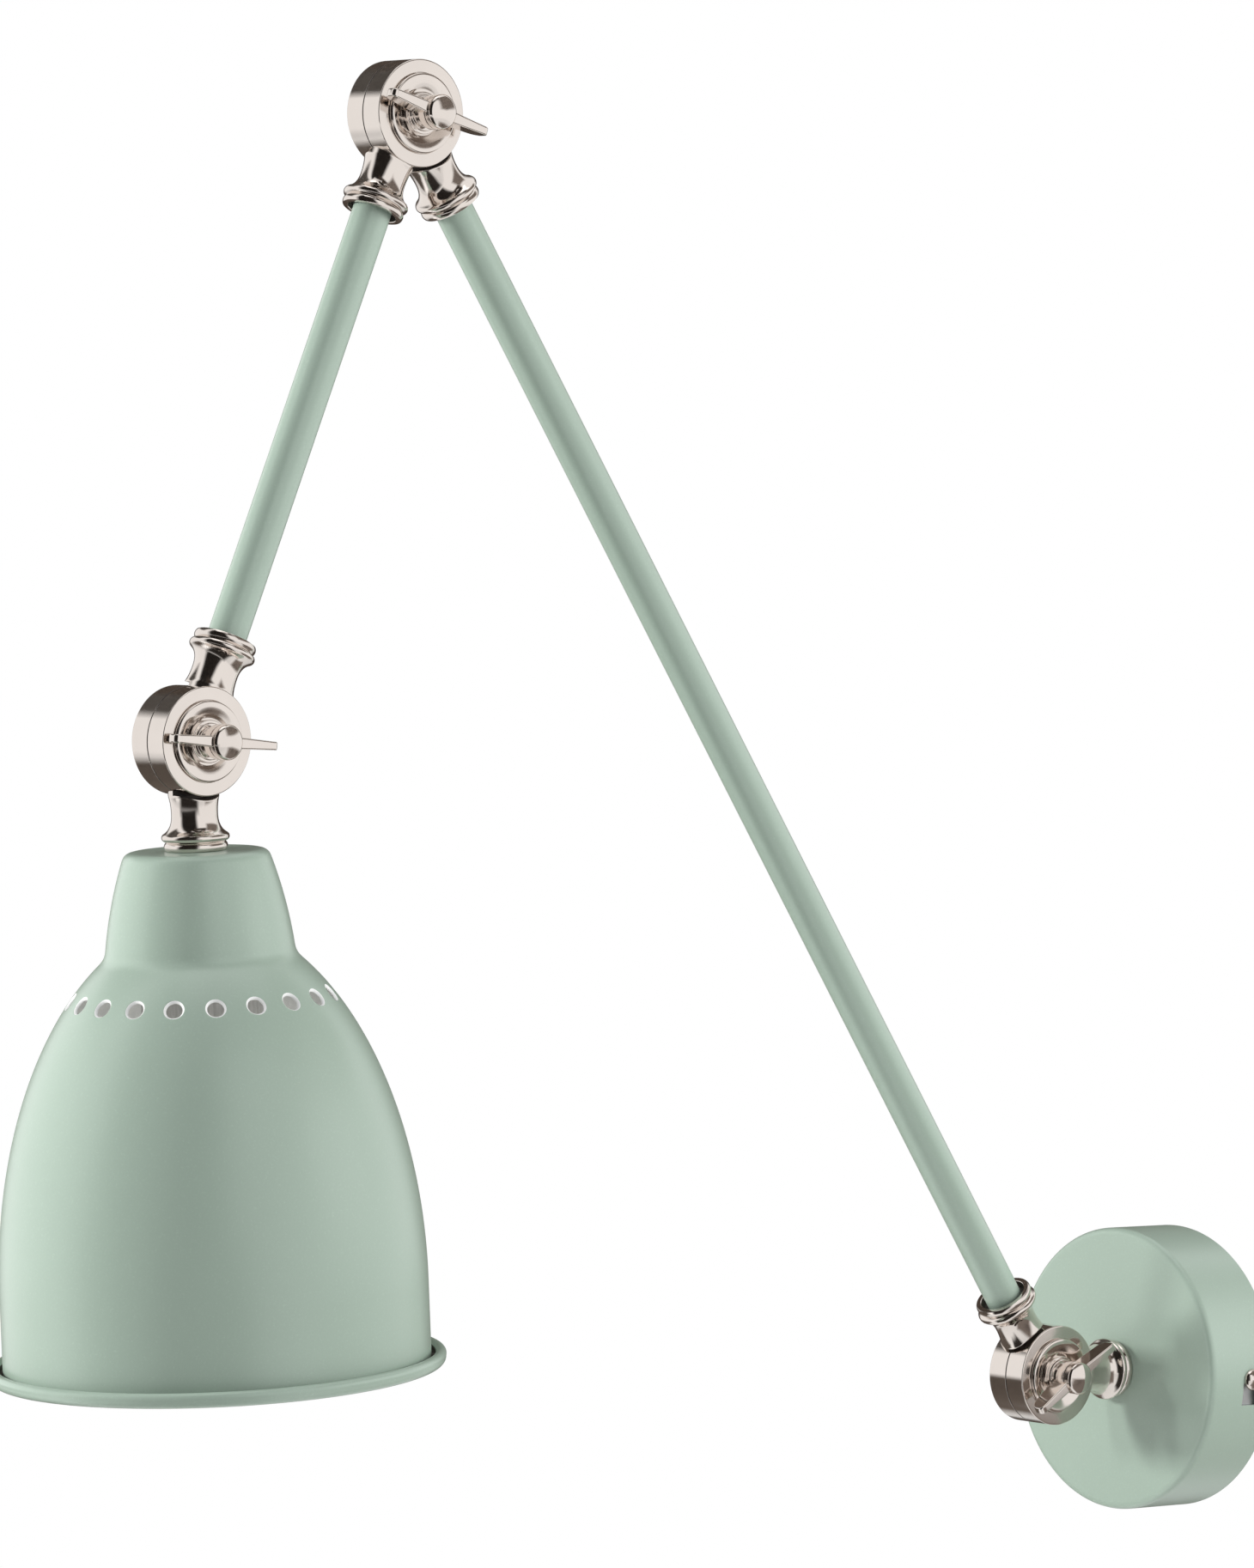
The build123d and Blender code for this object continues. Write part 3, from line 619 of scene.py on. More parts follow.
class LampSettings(bpy.types.PropertyGroup):
    """All settings of the lamp."""

    finish: bpy.props.PointerProperty(type=FinishSettings, name="Finish", description="Colours")
    knuckle: bpy.props.PointerProperty(type=KnuckleSettings, name="Knuckle", description="Knuckles")
    shade: bpy.props.PointerProperty(type=ShadeSettings, name="Shade", description="Shade")
    arm: bpy.props.PointerProperty(type=ArmSettings, name="Arm", description="Arms")
    canopy: bpy.props.PointerProperty(type=CanopySettings, name="Canopy", description="Canopy")
    holder: bpy.props.PointerProperty(type=HolderSettings, name="Lampholder", description="Holder")
    stage: bpy.props.PointerProperty(type=StageSettings, name="Stage", description="Stage")


# ---------------------------------------------------------------- knuckles
def disc_outline(sizes, has_seat):
    """Section of a knuckle disc on the +X side, as (radius, place along X, rounding)."""
    face = sizes.seam / 2
    outer = face + sizes.disc_thickness
    bore = sizes.screw_radius + 0.08 * MM
    recess = 0.5 * MM
    boss = 7.0 * MM
    hollow = 13.9 * MM
    floor = outer - 2.3 * MM
    eased = 0.2 * MM
    corners = [(sizes.disc_radius, face, eased), (sizes.disc_radius, outer, sizes.edge)]
    if has_seat:
        seat = sizes.washer_radius + 0.12 * MM
        corners += [(seat, outer, 0.15 * MM), (seat, outer - recess, 0), (bore, outer - recess, 0)]
    else:
        corners += [(bore, outer, 0.3 * MM)]
    corners += [
        (bore, face + recess, 0),
        (boss, face + recess, eased),
        (boss, floor, 0),
        (hollow, floor, 0),
        (hollow, face, eased),
    ]
    return rounded(corners)


def neck_side(sizes):
    """Side of the neck from below the disc to its end, as (radius, height) points."""
    bead_half, crown = 1.2 * MM, 0.75 * MM
    shoulder, waist, bead_low, bead_top, bead_high = vectors(
        (sizes.root_radius, sizes.disc_radius),
        (sizes.waist_radius, sizes.waist_distance),
        (sizes.bead_radius - crown, sizes.bead_distance - bead_half),
        (sizes.bead_radius, sizes.bead_distance),
        (sizes.bead_radius - crown, sizes.bead_distance + bead_half),
    )
    drop = sizes.waist_distance - sizes.disc_radius
    flare = bead_low.y - waist.y
    upper = sweep_curve(shoulder, (-0.30 * drop, drop), waist, (0, drop), 10)
    lower = sweep_curve(waist, (0, flare), bead_low, (1.15 * flare, 0.72 * flare), 14)
    bead = arc(bead_low, bead_top, bead_high, 8)
    groove = vectors((sizes.bead_radius - 1.35 * MM, bead_high.y + 0.3 * MM))
    end, inset = sizes.neck_length, sizes.ring_radius - 0.35 * MM
    ring_top = (sizes.ring_radius, end - 1.3 * MM)
    ring = arc((inset, end - 2.4 * MM), ring_top, (inset, end - 0.15 * MM), 6)
    return upper + lower[1:] + bead[1:] + groove + ring


def neck_end(sizes, holds_tube, tube_radius):
    """Bright end of the neck, and its inside that carries the near-black painted shade, as (radius,
    height) points.
    """
    end = sizes.neck_length
    inner = end - sizes.end_wall
    lip = vectors((sizes.ring_radius - 0.7 * MM, end))
    if not holds_tube:
        return lip, vectors((WIRE_BORE, end), (WIRE_BORE, inner), (0, inner))
    mouth, eased = sizes.mouth_radius, 0.35 * MM
    floor = end - sizes.mouth_depth
    seat = tube_radius + 0.05 * MM
    edge = bend((mouth + eased, end), (mouth, end), (mouth, end - eased), 4)
    return lip + edge, vectors((mouth, floor), (seat, floor), (seat, inner), (0, inner))


def radius_at(side, height):
    """Radius of a side outline at a height."""
    for low, high in zip(side, side[1:]):
        if low.y <= height <= high.y:
            share = (height - low.y) / (high.y - low.y)
            return low.x + (high.x - low.x) * share
    return side[0].x


def add_neck(shape, sizes, holds_tube, tube_radius):
    """Neck with a saddle under the mate's disc and a soft lip along the saddle's edge."""
    side = neck_side(sizes)
    face = sizes.seam / 2
    hollow = sizes.disc_radius + sizes.saddle
    full_from = sizes.disc_radius + 2.6 * MM
    lip = 0.4 * MM
    steps, lip_steps, face_steps = 6, 4, 6
    start_angle = pi / 2 - face / sizes.root_radius
    own_steps, mate_steps = 40, 56
    own = [start_angle * (2 * step / own_steps - 1) for step in range(own_steps + 1)]
    mate_sweep = 2 * pi - 2 * start_angle
    mate = [start_angle + mate_sweep * step / mate_steps for step in range(mate_steps + 1)]
    side_low = hollow * cos(sizes.root_radius / hollow) - lip

    def point(angle, height):
        return polar(radius_at(side, height), angle, height)

    def saddle_height(across):
        return sqrt(hollow**2 - across**2)

    def edge_height(angle):
        height = hollow
        for _ in range(4):
            height = saddle_height(radius_at(side, height) * sin(angle))
        return height

    low_height = edge_height(start_angle) + lip
    own_rows = []
    for step in range(steps + 1):
        height = full_from + (low_height - full_from) * step / steps
        own_rows.append([point(angle, height) for angle in own])
    own_rows.append([point(angle, side_low - 2.2 * MM) for angle in own])
    shape.grid(own_rows)

    mate_rows = []
    for step in range(steps + 1):
        row = []
        for angle in mate:
            target = edge_height(angle) + lip
            row.append(point(angle, full_from + (target - full_from) * step / steps))
        mate_rows.append(row)
    corner_row, inner_row = [], []
    for angle in mate:
        corner = point(angle, edge_height(angle))
        across = corner.y * (1 - lip / sizes.root_radius)
        inner_row.append(Vector((corner.x + lip * abs(cos(angle)), across, saddle_height(across))))
        corner_row.append(corner)
    for step in range(1, lip_steps + 1):
        t = step / lip_steps
        rows = zip(mate_rows[steps], corner_row, inner_row)
        mate_rows.append([a * (1 - t) ** 2 + b * 2 * t * (1 - t) + c * t * t for a, b, c in rows])
    bright_rows = len(mate_rows)
    for step in range(1, face_steps + 1):
        share = step / face_steps
        mate_rows.append([Vector((p.x + (face - p.x) * share, p.y, p.z)) for p in inner_row])
    under_disc = [sqrt(sizes.disc_radius**2 - p.y**2) - 0.2 * MM for p in inner_row]
    mate_rows.append([Vector((face, p.y, height)) for p, height in zip(inner_row, under_disc)])
    shape.grid(mate_rows[:bright_rows])
    # The saddle's face under the mate's disc takes the near-black painted shade.
    shape.grid(mate_rows[bright_rows - 1 :], finish=1)

    round_angles = own[:-1] + mate[:-1]
    below = [p for p in side if p.y > full_from + 0.3 * MM]
    bright_end, inside = neck_end(sizes, holds_tube, tube_radius)
    bright = vectors((radius_at(side, full_from), full_from)) + below + bright_end
    rows = [[polar(p.x, angle, p.y) for angle in round_angles] for p in bright + inside]
    shape.grid(rows[: len(bright)], around=True)
    # The inside of the neck's end and its socket take the near-black painted shade.
    shape.grid(rows[len(bright) - 1 :], finish=1, around=True)


def build_knuckle(name, place, sizes, is_front, holds_tube, tube_radius, body, node):
    """One half of a knuckle: the hollow disc and its neck."""
    shape = Shape(mirrored=not is_front)
    outline = disc_outline(sizes, is_front)
    at_rim = 3
    at_bore = next(i for i, point in enumerate(outline) if point.x < sizes.screw_radius + 0.5 * MM)
    shape.spin(outline[at_rim : at_bore + 1], 144, "X", closed=False)
    # The disc's inner face at the seam, its bore and its hollow take the near-black painted shade.
    shape.spin(outline[at_bore:] + outline[: at_rim + 1], 144, "X", finish=1, closed=False)
    add_neck(shape, sizes, holds_tube, tube_radius)
    finishes = [FINISHES["nickel"], FINISHES["seam"]]
    shape.build(name, PLACES[place], finishes, body, [node])


def build_washer(name, place, sizes, body, node):
    """Dished pressure washer with a rolled rim."""
    outer = sizes.seam / 2 + sizes.disc_thickness
    top = outer + sizes.washer_proud
    seat = outer - 0.5 * MM
    rim = sizes.washer_radius
    roll = 0.75 * MM
    floor = outer + 0.3 * MM
    hole = sizes.screw_radius + 0.2 * MM
    corners = [
        (rim, seat, 0),
        (rim, top, roll),
        (rim - 1.7 * MM, top, roll),
        (8.9 * MM, outer + 0.95 * MM, 1.4 * MM),
        (7.6 * MM, floor, 0.5 * MM),
        (hole, floor, 0),
        (hole, seat, 0),
    ]
    shape = Shape()
    shape.spin(rounded(corners, 6), 144, "X")
    shape.build(name, PLACES[place], [FINISHES["nickel"]], body, [node])


def add_wing(shape, sizes, flip):
    """Cast wing on the hub: a thin ear, wide near the hub and round at its tip."""
    outer = sizes.seam / 2 + sizes.disc_thickness
    root = 0.5 * sizes.hub_radius
    reach = sizes.wing_reach
    front_round, back_round, tip_round = 2.0 * MM, 4.0 * MM, 0.6 * MM
    rows = []
    stations = 26
    for station in range(stations + 1):
        share = station / stations
        height = root + (reach - root) * (1 - (1 - share) ** 1.8)
        along = max(0.0, min(1.0, (height - sizes.hub_radius) / (reach - sizes.hub_radius)))
        low = outer + (2.9 + 1.7 * along) * MM
        high = outer + (10.3 + 0.7 * along) * MM
        left = reach - height
        if left < back_round:
            low += back_round - sqrt(max(0.0, back_round**2 - (back_round - left) ** 2))
        if left < front_round:
            high -= front_round - sqrt(max(0.0, front_round**2 - (front_round - left) ** 2))
        thick = (3.7 - 1.1 * along) * MM
        if left < tip_round:
            thick *= 0.55 + 0.45 * sqrt(max(0.0, 1 - (1 - left / tip_round) ** 2))
        middle, half = (low + high) / 2, (high - low) / 2
        edge = min(0.55 * MM, half * 0.9)
        row = []
        for corner, (side_x, side_y) in enumerate(((1, 1), (-1, 1), (-1, -1), (1, -1))):
            centre_x = middle + side_x * (half - edge)
            centre_y = side_y * (thick / 2 - edge)
            for step in range(6):
                turn = pi / 2 * (corner + step / 5)
                x, y = centre_x + edge * cos(turn), centre_y + edge * sin(turn)
                row.append(Vector((x, flip * y, flip * height)))
        rows.append(row)
    shape.grid(rows, around=True)
    shape.cap(rows[0])
    shape.cap(rows[-1])


def build_wing_screw(name, place, turn, sizes, body, node):
    """Wing screw: shank, stepped stem, grooved hub with a domed end, and two cast wings."""
    outer = sizes.seam / 2 + sizes.disc_thickness
    floor = outer + 0.3 * MM
    foot, ledge, stem = 6.9 * MM, 5.9 * MM, 4.6 * MM
    hub, groove = sizes.hub_radius, sizes.hub_radius - 0.7 * MM
    end = outer + 11.2 * MM
    corners = [
        (0, -outer, 0),
        (sizes.screw_radius, -outer, 0.4 * MM),
        (sizes.screw_radius, floor, 0),
        (foot, floor, 0),
        (foot, floor + 1.1 * MM, 0.3 * MM),
        (ledge, floor + 1.1 * MM, 0.1 * MM),
        (ledge, floor + 2.1 * MM, 0.3 * MM),
        (stem, floor + 2.1 * MM, 0.15 * MM),
        (stem, outer + 4.4 * MM, 0.15 * MM),
        (hub, outer + 5.4 * MM, 0.4 * MM),
        (hub, outer + 8.2 * MM, 0.1 * MM),
        (groove, outer + 8.25 * MM, 0),
        (groove, outer + 8.65 * MM, 0),
        (hub, outer + 8.7 * MM, 0.1 * MM),
        (hub, end, 0.4 * MM),
    ]
    outline = rounded(corners)
    dome = arc((hub, end + 0.1 * MM), (0.55 * hub, end + 1.32 * MM), (0, end + 1.9 * MM), 12)
    shape = Shape()
    shape.spin(outline + dome[1:], 96, "X")
    add_wing(shape, sizes, 1)
    add_wing(shape, sizes, -1)
    spot = Matrix.Translation(place) @ Matrix.Rotation(turn - pi / 2, 4, "X")
    shape.build(name, spot, [FINISHES["nickel"]], body, [node], sharp=50)


class WALLLAMP_OT_knuckles(bpy.types.Operator):
    """Build the six knuckle halves and their pressure washers"""

    bl_idname = "wall_lamp.knuckles"
    bl_label = "Knuckles"

    def execute(self, context):
        sizes = context.scene.wall_lamp.knuckle
        tube = context.scene.wall_lamp.arm.tube_radius
        halves = [
            ("wall_knuckle", "wall", True, False, "wall_side"),
            ("lower_arm_base_knuckle", "lower_low", False, True, "lower_arm"),
            ("lower_arm_elbow_knuckle", "lower_high", False, True, "lower_arm"),
            ("upper_arm_elbow_knuckle", "upper_high", True, True, "upper_arm"),
            ("upper_arm_shade_knuckle", "upper_low", True, True, "upper_arm"),
            ("shade_knuckle", "shade", False, False, "shade_head"),
        ]
        for node, place, is_front, holds_tube, body in halves:
            build_knuckle(node + "_cast", place, sizes, is_front, holds_tube, tube, body, node)
        washers = [
            ("base_pressure_washer", "wall", "wall_side"),
            ("elbow_pressure_washer", "upper_high", "upper_arm"),
            ("shade_pressure_washer", "upper_low", "upper_arm"),
        ]
        for node, place, body in washers:
            build_washer(node + "_dished", place, sizes, body, node)
        return {"FINISHED"}


class WALLLAMP_OT_wing_screws(bpy.types.Operator):
    """Build the three wing screws"""

    bl_idname = "wall_lamp.wing_screws"
    bl_label = "Wing Screws"

    def execute(self, context):
        sizes = context.scene.wall_lamp.knuckle
        screws = [
            ("base_wing_screw", BASE, sizes.base_turn, "base_wing"),
            ("elbow_wing_screw", ELBOW, sizes.elbow_turn, "elbow_wing"),
            ("shade_wing_screw", TILT, sizes.shade_turn, "shade_wing"),
        ]
        for node, place, turn, body in screws:
            build_wing_screw(node + "_cast", place, turn, sizes, body, node)
        return {"FINISHED"}


# ---------------------------------------------------------------- arms
class WALLLAMP_OT_arms(bpy.types.Operator):
    """Build the long and the short tube arm"""

    bl_idname = "wall_lamp.arms"
    bl_label = "Arms"

    def execute(self, context):
        sizes = context.scene.wall_lamp.arm
        knuckle = context.scene.wall_lamp.knuckle
        low = knuckle.neck_length - sizes.socket_depth
        inside = sizes.tube_radius - sizes.tube_wall
        arms = [
            ("lower_arm_tube", "lower_low", (ELBOW - BASE).length, "lower_arm"),
            ("upper_arm_tube", "upper_high", (TILT - ELBOW).length, "upper_arm"),
        ]
        for node, place, between, body in arms:
            high = between - low
            corners = [
                (sizes.tube_radius, low, 0.2 * MM),
                (sizes.tube_radius, high, 0.2 * MM),
                (inside, high, 0.1 * MM),
                (inside, low, 0.1 * MM),
            ]
            shape = Shape()
            shape.spin(rounded(corners), 96)
            shape.build(node + "_coated", PLACES[place], [FINISHES["enamel"]], body, [node])
        return {"FINISHED"}


# ---------------------------------------------------------------- shade
# Shares of the way from the border of a vent's cell to its hole.
VENT_RINGS = (0.0, 0.35, 0.68, 0.88, 1.0)
# Section of a vent's edge: growth of its radius in millimetres, and share of the wall's depth.
VENT_SECTION = (
    (0.45, 0),
    (0.38, 0.05),
    (0.2, 0.2),
    (0.0, 0.42),
    (-0.2, 0.7),
    (-0.2, 0.85),
    (0.0, 0.96),
    (0.22, 1.0),
)


def bell_radius_at(sizes, drop):
    """Radius of the bell's quarter ellipse at a drop."""
    share = (sizes.springing - drop) / sizes.bell_height
    return sizes.bell_radius * sqrt(1 - share**2)


def shade_meridian(sizes):
    """Outside of the shade as (radius, drop) points, from the hole in the top to the hem's groove."""
    share = sizes.base_radius / sizes.bell_radius
    base_drop = sizes.springing - sizes.bell_height * sqrt(1 - share**2)
    top_steps, crown_steps, bell_steps, wall_steps = 12, 40, 72, 8
    flat = sizes.top_radius - NIPPLE_HOLE
    top = [Vector((NIPPLE_HOLE + flat * step / top_steps, 0)) for step in range(top_steps + 1)]
    crown_middle = (sizes.mid_radius, sizes.mid_drop)
    crown = arc((sizes.top_radius, 0), crown_middle, (sizes.base_radius, base_drop), crown_steps)
    bell = []
    for step in range(1, bell_steps + 1):
        drop = base_drop + (sizes.springing - base_drop) * (step / bell_steps) ** 1.25
        bell.append(Vector((bell_radius_at(sizes, drop), drop)))
    fall = sizes.rim_drop - sizes.hem_groove - sizes.springing
    wall = []
    for step in range(1, wall_steps + 1):
        wall.append(Vector((sizes.bell_radius, sizes.springing + fall * step / wall_steps)))
    path = top + crown[1:] + bell + wall
    path = soften(path, top_steps + crown_steps, sizes.shoulder)
    return soften(path, top_steps, sizes.corner)


def outward(path, index):
    """Unit normal of a path, on the side away from the axis and up."""
    before, after = path[max(0, index - 1)], path[min(len(path) - 1, index + 1)]
    run = (after - before).normalized()
    return Vector((run.y, -run.x))


def hem_outline(sizes):
    """Rolled hem from the groove behind the bead, over the bead, to the inside of the wall."""
    rim, wall_radius = sizes.rim_drop, sizes.bell_radius
    groove, high = rim - sizes.hem_groove, rim - sizes.hem_height
    bead_in = sizes.rim_radius - sizes.hem_width
    bead_mid = sizes.rim_radius - sizes.hem_width / 2
    behind, front = (bead_in, groove), (sizes.rim_radius, groove)
    inner = wall_radius - sizes.wall
    groove_low = ((wall_radius + bead_in) / 2, groove + 0.5 * MM)
    hem = arc((wall_radius, groove), groove_low, behind, 6)[1:]
    hem += arc(behind, (bead_mid, high), front, 16)[1:]
    hem += arc(front, (bead_mid + 1.0 * MM, rim - 0.6 * MM), (bead_mid, rim), 10)[1:]
    hem += vectors((wall_radius + 0.3 * MM, rim))
    return hem + bend((wall_radius, rim), (inner, rim), (inner, rim - sizes.wall), 6)


def square_border(side_steps):
    """Points round the square from (-1, -1) to (1, 1)."""
    border = []
    for step in range(4 * side_steps):
        side, place = divmod(step, side_steps)
        share = 2 * place / side_steps - 1
        border.append([(share, -1), (1, share), (-share, 1), (-1, -share)][side])
    return border


def build_shade(sizes, top):
    """Spun bell with a rolled hem, and a ring of vents with soft edges."""
    # seam is the near-black painted shade in the hem's groove; vent_edge is the lining painted lighter as
    # a painted highlight.
    coat, lining, vent_edge, seam = range(4)
    cells = sizes.vent_count
    cell_steps = 8
    segments = cells * cell_steps
    half_turn = pi / cells
    phase = sizes.vent_phase - half_turn
    zone, clear = 5.6 * MM, 0.3 * MM
    in_groove = 9

    outside = shade_meridian(sizes)
    normals = [outward(outside, index) for index in range(len(outside))]
    inside = [point - normal * sizes.wall for point, normal in zip(outside, normals)]
    inside[0].x = outside[0].x
    ways = [0.0]
    for before, after in zip(outside, outside[1:]):
        ways.append(ways[-1] + (after - before).length)
    vent_way = next(way for way, point in zip(ways, outside) if point.y >= sizes.vent_drop)

    def at(way, depth):
        index = max(i for i, value in enumerate(ways[:-1]) if value <= way)
        share = (way - ways[index]) / (ways[index + 1] - ways[index])
        spot = outside[index].lerp(outside[index + 1], share)
        normal = normals[index].lerp(normals[index + 1], share).normalized()
        return spot - normal * depth

    def rings(points):
        angles = [phase + 2 * pi * segment / segments for segment in range(segments)]
        return [[polar(point.x, angle, top + point.y) for angle in angles] for point in points]

    above = [i for i, way in enumerate(ways) if way < vent_way - zone - clear]
    below = [i for i, way in enumerate(ways) if way > vent_way + zone + clear]
    outer_high = [outside[i] for i in above] + [at(vent_way - zone, 0)]
    outer_low = [at(vent_way + zone, 0)] + [outside[i] for i in below]
    inner_high = [inside[i] for i in above] + [at(vent_way - zone, sizes.wall)]
    inner_low = [at(vent_way + zone, sizes.wall)] + [inside[i] for i in below]
    hem = hem_outline(sizes)
    shape = Shape()
    shape.grid(rings(outer_high), coat, around=True)
    shape.grid(rings(outer_low), coat, around=True)
    # The hem's groove takes the near-black painted shade.
    shape.grid(rings(outer_low[-1:] + hem[:in_groove]), seam, around=True)
    shape.grid(rings(hem[in_groove - 1 :]), coat, around=True)
    shape.grid(rings(hem[-1:] + inner_low[::-1]), lining, around=True)
    shape.grid(rings(inner_high), lining, around=True)
    shape.grid(rings([outside[0], inside[0]]), coat, around=True)

    border = square_border(cell_steps)
    ring_radius = at(vent_way, 0).x
    skins = ((0, coat, 0.45 * MM), (sizes.wall, lining, 0.22 * MM))

    def loop(middle, hole, depth, share=1.0):
        row = []
        for u, v in border:
            turn = atan2(v, u)
            across = u * half_turn * (1 - share) + hole * cos(turn) / ring_radius * share
            along = v * zone * (1 - share) + hole * sin(turn) * share
            spot = at(vent_way + along, depth)
            row.append(polar(spot.x, middle + across, top + spot.y))
        return row

    for cell in range(cells):
        middle = phase + half_turn + 2 * half_turn * cell
        for depth, finish, lip in skins:
            hole = sizes.vent_radius + lip
            shape.grid([loop(middle, hole, depth, share) for share in VENT_RINGS], finish, around=True)
        walls = []
        for grow, share in VENT_SECTION:
            walls.append(loop(middle, sizes.vent_radius + grow * MM, share * sizes.wall))
        # Vent walls take the lining painted lighter, a painted highlight round each vent.
        shape.grid(walls, vent_edge, around=True)
    finishes = [FINISHES[finish] for finish in ("enamel", "lining", "vent_edge", "seam")]
    shape.build("bell_shade_spun", PLACES["shade"], finishes, "shade_head", ["shade"], sharp=50)


class WALLLAMP_OT_shade(bpy.types.Operator):
    """Build the bell shade with its vents and rolled hem"""

    bl_idname = "wall_lamp.shade"
    bl_label = "Shade"

    def execute(self, context):
        lamp = context.scene.wall_lamp
        build_shade(lamp.shade, lamp.knuckle.neck_length)
        return {"FINISHED"}


# ---------------------------------------------------------------- canopy
def box_shape(low, high):
    """Box between two corners."""
    shape = Shape()
    loop = [(low[0], low[1]), (high[0], low[1]), (high[0], high[1]), (low[0], high[1])]
    rows = [[Vector((x, y, z)) for x, y in loop] for z in (low[2], high[2])]
    shape.grid(rows, around=True)
    shape.cap(rows[0])
    shape.cap(rows[1])
    return shape


def build_canopy(sizes, spot):
    """Spun canopy with a keyhole on either side."""
    inner = sizes.radius - sizes.wall
    floor = sizes.depth - sizes.wall
    rim_edge = 0.25 * MM
    corners = [
        (sizes.radius, 0, rim_edge),
        (sizes.radius, sizes.depth, sizes.edge),
        (NIPPLE_HOLE, sizes.depth, 0),
        (NIPPLE_HOLE, floor, 0),
        (inner, floor, sizes.edge - sizes.wall),
        (inner, 0, rim_edge),
    ]
    shape = Shape()
    shape.spin(rounded(corners, 8), 192)
    place = Matrix.Rotation(pi / 2, 4, "X")
    canopy = shape.build("canopy_spun", place, [FINISHES["enamel"]], "wall_side", ["canopy"])
    gap = 0.25 * MM
    slot = sizes.screw_radius + gap
    door = sizes.head_radius + gap
    reach = sizes.radius + 5 * MM
    rod = Shape()
    rod.spin([(0, -reach), (slot, -reach), (slot, reach), (0, reach)], 48, "X")
    neck = box_shape((-reach, -slot, -2 * slot), (reach, slot, 0))
    opening = box_shape((-reach, -door, -slot / 2 - 2 * door), (reach, door, -slot / 2))
    cutters = [
        cutter_from(rod, "keyhole_round", spot),
        cutter_from(neck, "keyhole_neck", spot),
        cutter_from(opening, "keyhole_door", spot),
    ]
    carve(canopy, cutters)


def build_side_screws(sizes, spot):
    """The two side screws, each with a domed head and a driver slot."""
    top = sizes.radius + sizes.head_height
    edge = sizes.radius + 0.75 * MM
    head = sizes.head_radius
    shank_end = 43.2 * MM
    corners = [
        (0, shank_end, 0),
        (sizes.screw_radius, shank_end, 0.3 * MM),
        (sizes.screw_radius, sizes.radius, 0),
        (head, sizes.radius, 0.15 * MM),
        (head, edge, 0.2 * MM),
    ]
    dome = arc((head, edge), (0.55 * head, edge + 1.62 * MM), (0, top), 10)
    outline = rounded(corners) + dome[1:]
    pair = Shape()
    pair.spin(outline, 64, "X")
    pair.mirrored = True
    pair.spin(outline, 64, "X")
    name, finishes = "canopy_side_screws_turned", [FINISHES["nickel"]]
    screws = pair.build(name, spot, finishes, "wall_side", ["canopy_side_screws"])
    slot_depth, slot_half = 1.0 * MM, 0.45 * MM
    cutters = []
    for side in (-1, 1):
        low, high = sorted((side * (top - slot_depth), side * (top + slot_depth)))
        slot_box = box_shape((low, -slot_half, -head), (high, slot_half, head))
        cutters.append(cutter_from(slot_box, "driver_slot", spot))
    carve(screws, cutters)


class WALLLAMP_OT_canopy(bpy.types.Operator):
    """Build the canopy with its keyholes, and the two side screws"""

    bl_idname = "wall_lamp.canopy"
    bl_label = "Canopy"

    def execute(self, context):
        sizes = context.scene.wall_lamp.canopy
        spot = Matrix.Translation((0, -sizes.setback, 0))
        build_canopy(sizes, spot)
        build_side_screws(sizes, spot)
        return {"FINISHED"}


# ---------------------------------------------------------------- lampholder
def build_lamp_shell(sizes, low):
    """Rolled screw shell: a plain narrow foot on the insulator, then the thread and an outward lip."""
    sheet = sizes.shell_sheet
    foot = low + sizes.foot_depth
    high = low + sizes.shell_length
    floor_hole = 5.0 * MM
    turns, steps, run_in, run_out = 96, 110, 12, 10
    shape = Shape()
    for skin in (0, sheet):
        rows = []
        for step in range(steps + 1):
            height = foot + (high - foot) * step / steps
            fade = min(1.0, step / run_in, (steps - step) / run_out)
            row = []
            for part in range(turns):
                turn = 2 * pi * part / turns
                wave = 0.5 - 0.5 * cos(2 * pi * height / sizes.pitch - turn)
                radius = sizes.bore + skin + sizes.thread * 0.5 * wave * fade
                row.append(polar(radius, turn, height))
            rows.append(row)
        shape.grid(rows, around=True)
    cup = [
        (sizes.bore, foot),
        (sizes.foot_radius, foot),
        (sizes.foot_radius, low + sheet),
        (floor_hole, low + sheet),
        (floor_hole, low),
        (sizes.foot_radius + sheet, low),
        (sizes.foot_radius + sheet, foot - sheet),
        (sizes.bore + sheet, foot - sheet),
        (sizes.bore + sheet, foot),
    ]
    shape.spin(cup, turns, closed=False)
    lip = sizes.bore + sheet + 0.7 * MM
    rim = [(sizes.bore, high), (lip, high), (lip, high - sheet), (sizes.bore + sheet, high - sheet)]
    shape.spin(rim, turns)
    place, finishes = PLACES["shade"], [FINISHES["brass"]]
    shape.build("lamp_shell_rolled", place, finishes, "shade_head", ["lamp_shell"], sharp=60)


def build_cap(sizes, top, bottom, place, finishes):
    """Domed cap of the lampholder."""
    outer, inner = sizes.radius, sizes.radius - sizes.wall
    collar = 8.0 * MM
    shoulder = top + 5 * MM
    eased = 0.3 * MM
    floor = shoulder + sizes.wall
    edge = bend((WIRE_BORE, top), (collar, top), (collar, top + 0.5 * MM), 4)
    dome = arc((collar, shoulder), (16 * MM, shoulder + 3.9 * MM), (outer, shoulder + 10.5 * MM), 20)
    wall = vectors((outer, bottom - eased), (outer - eased, bottom), (inner, bottom))
    hollow_start, hollow_middle = (inner, shoulder + 11.4 * MM), (14.2 * MM, shoulder + 5.3 * MM)
    hollow = arc(hollow_start, hollow_middle, (collar - sizes.wall, floor), 20)
    cap = Shape()
    cap.spin(edge + dome + wall + hollow + vectors((WIRE_BORE, floor)), 128)
    cap.build("lampholder_cap_moulded", place, finishes, "shade_head", ["lampholder_cap"])


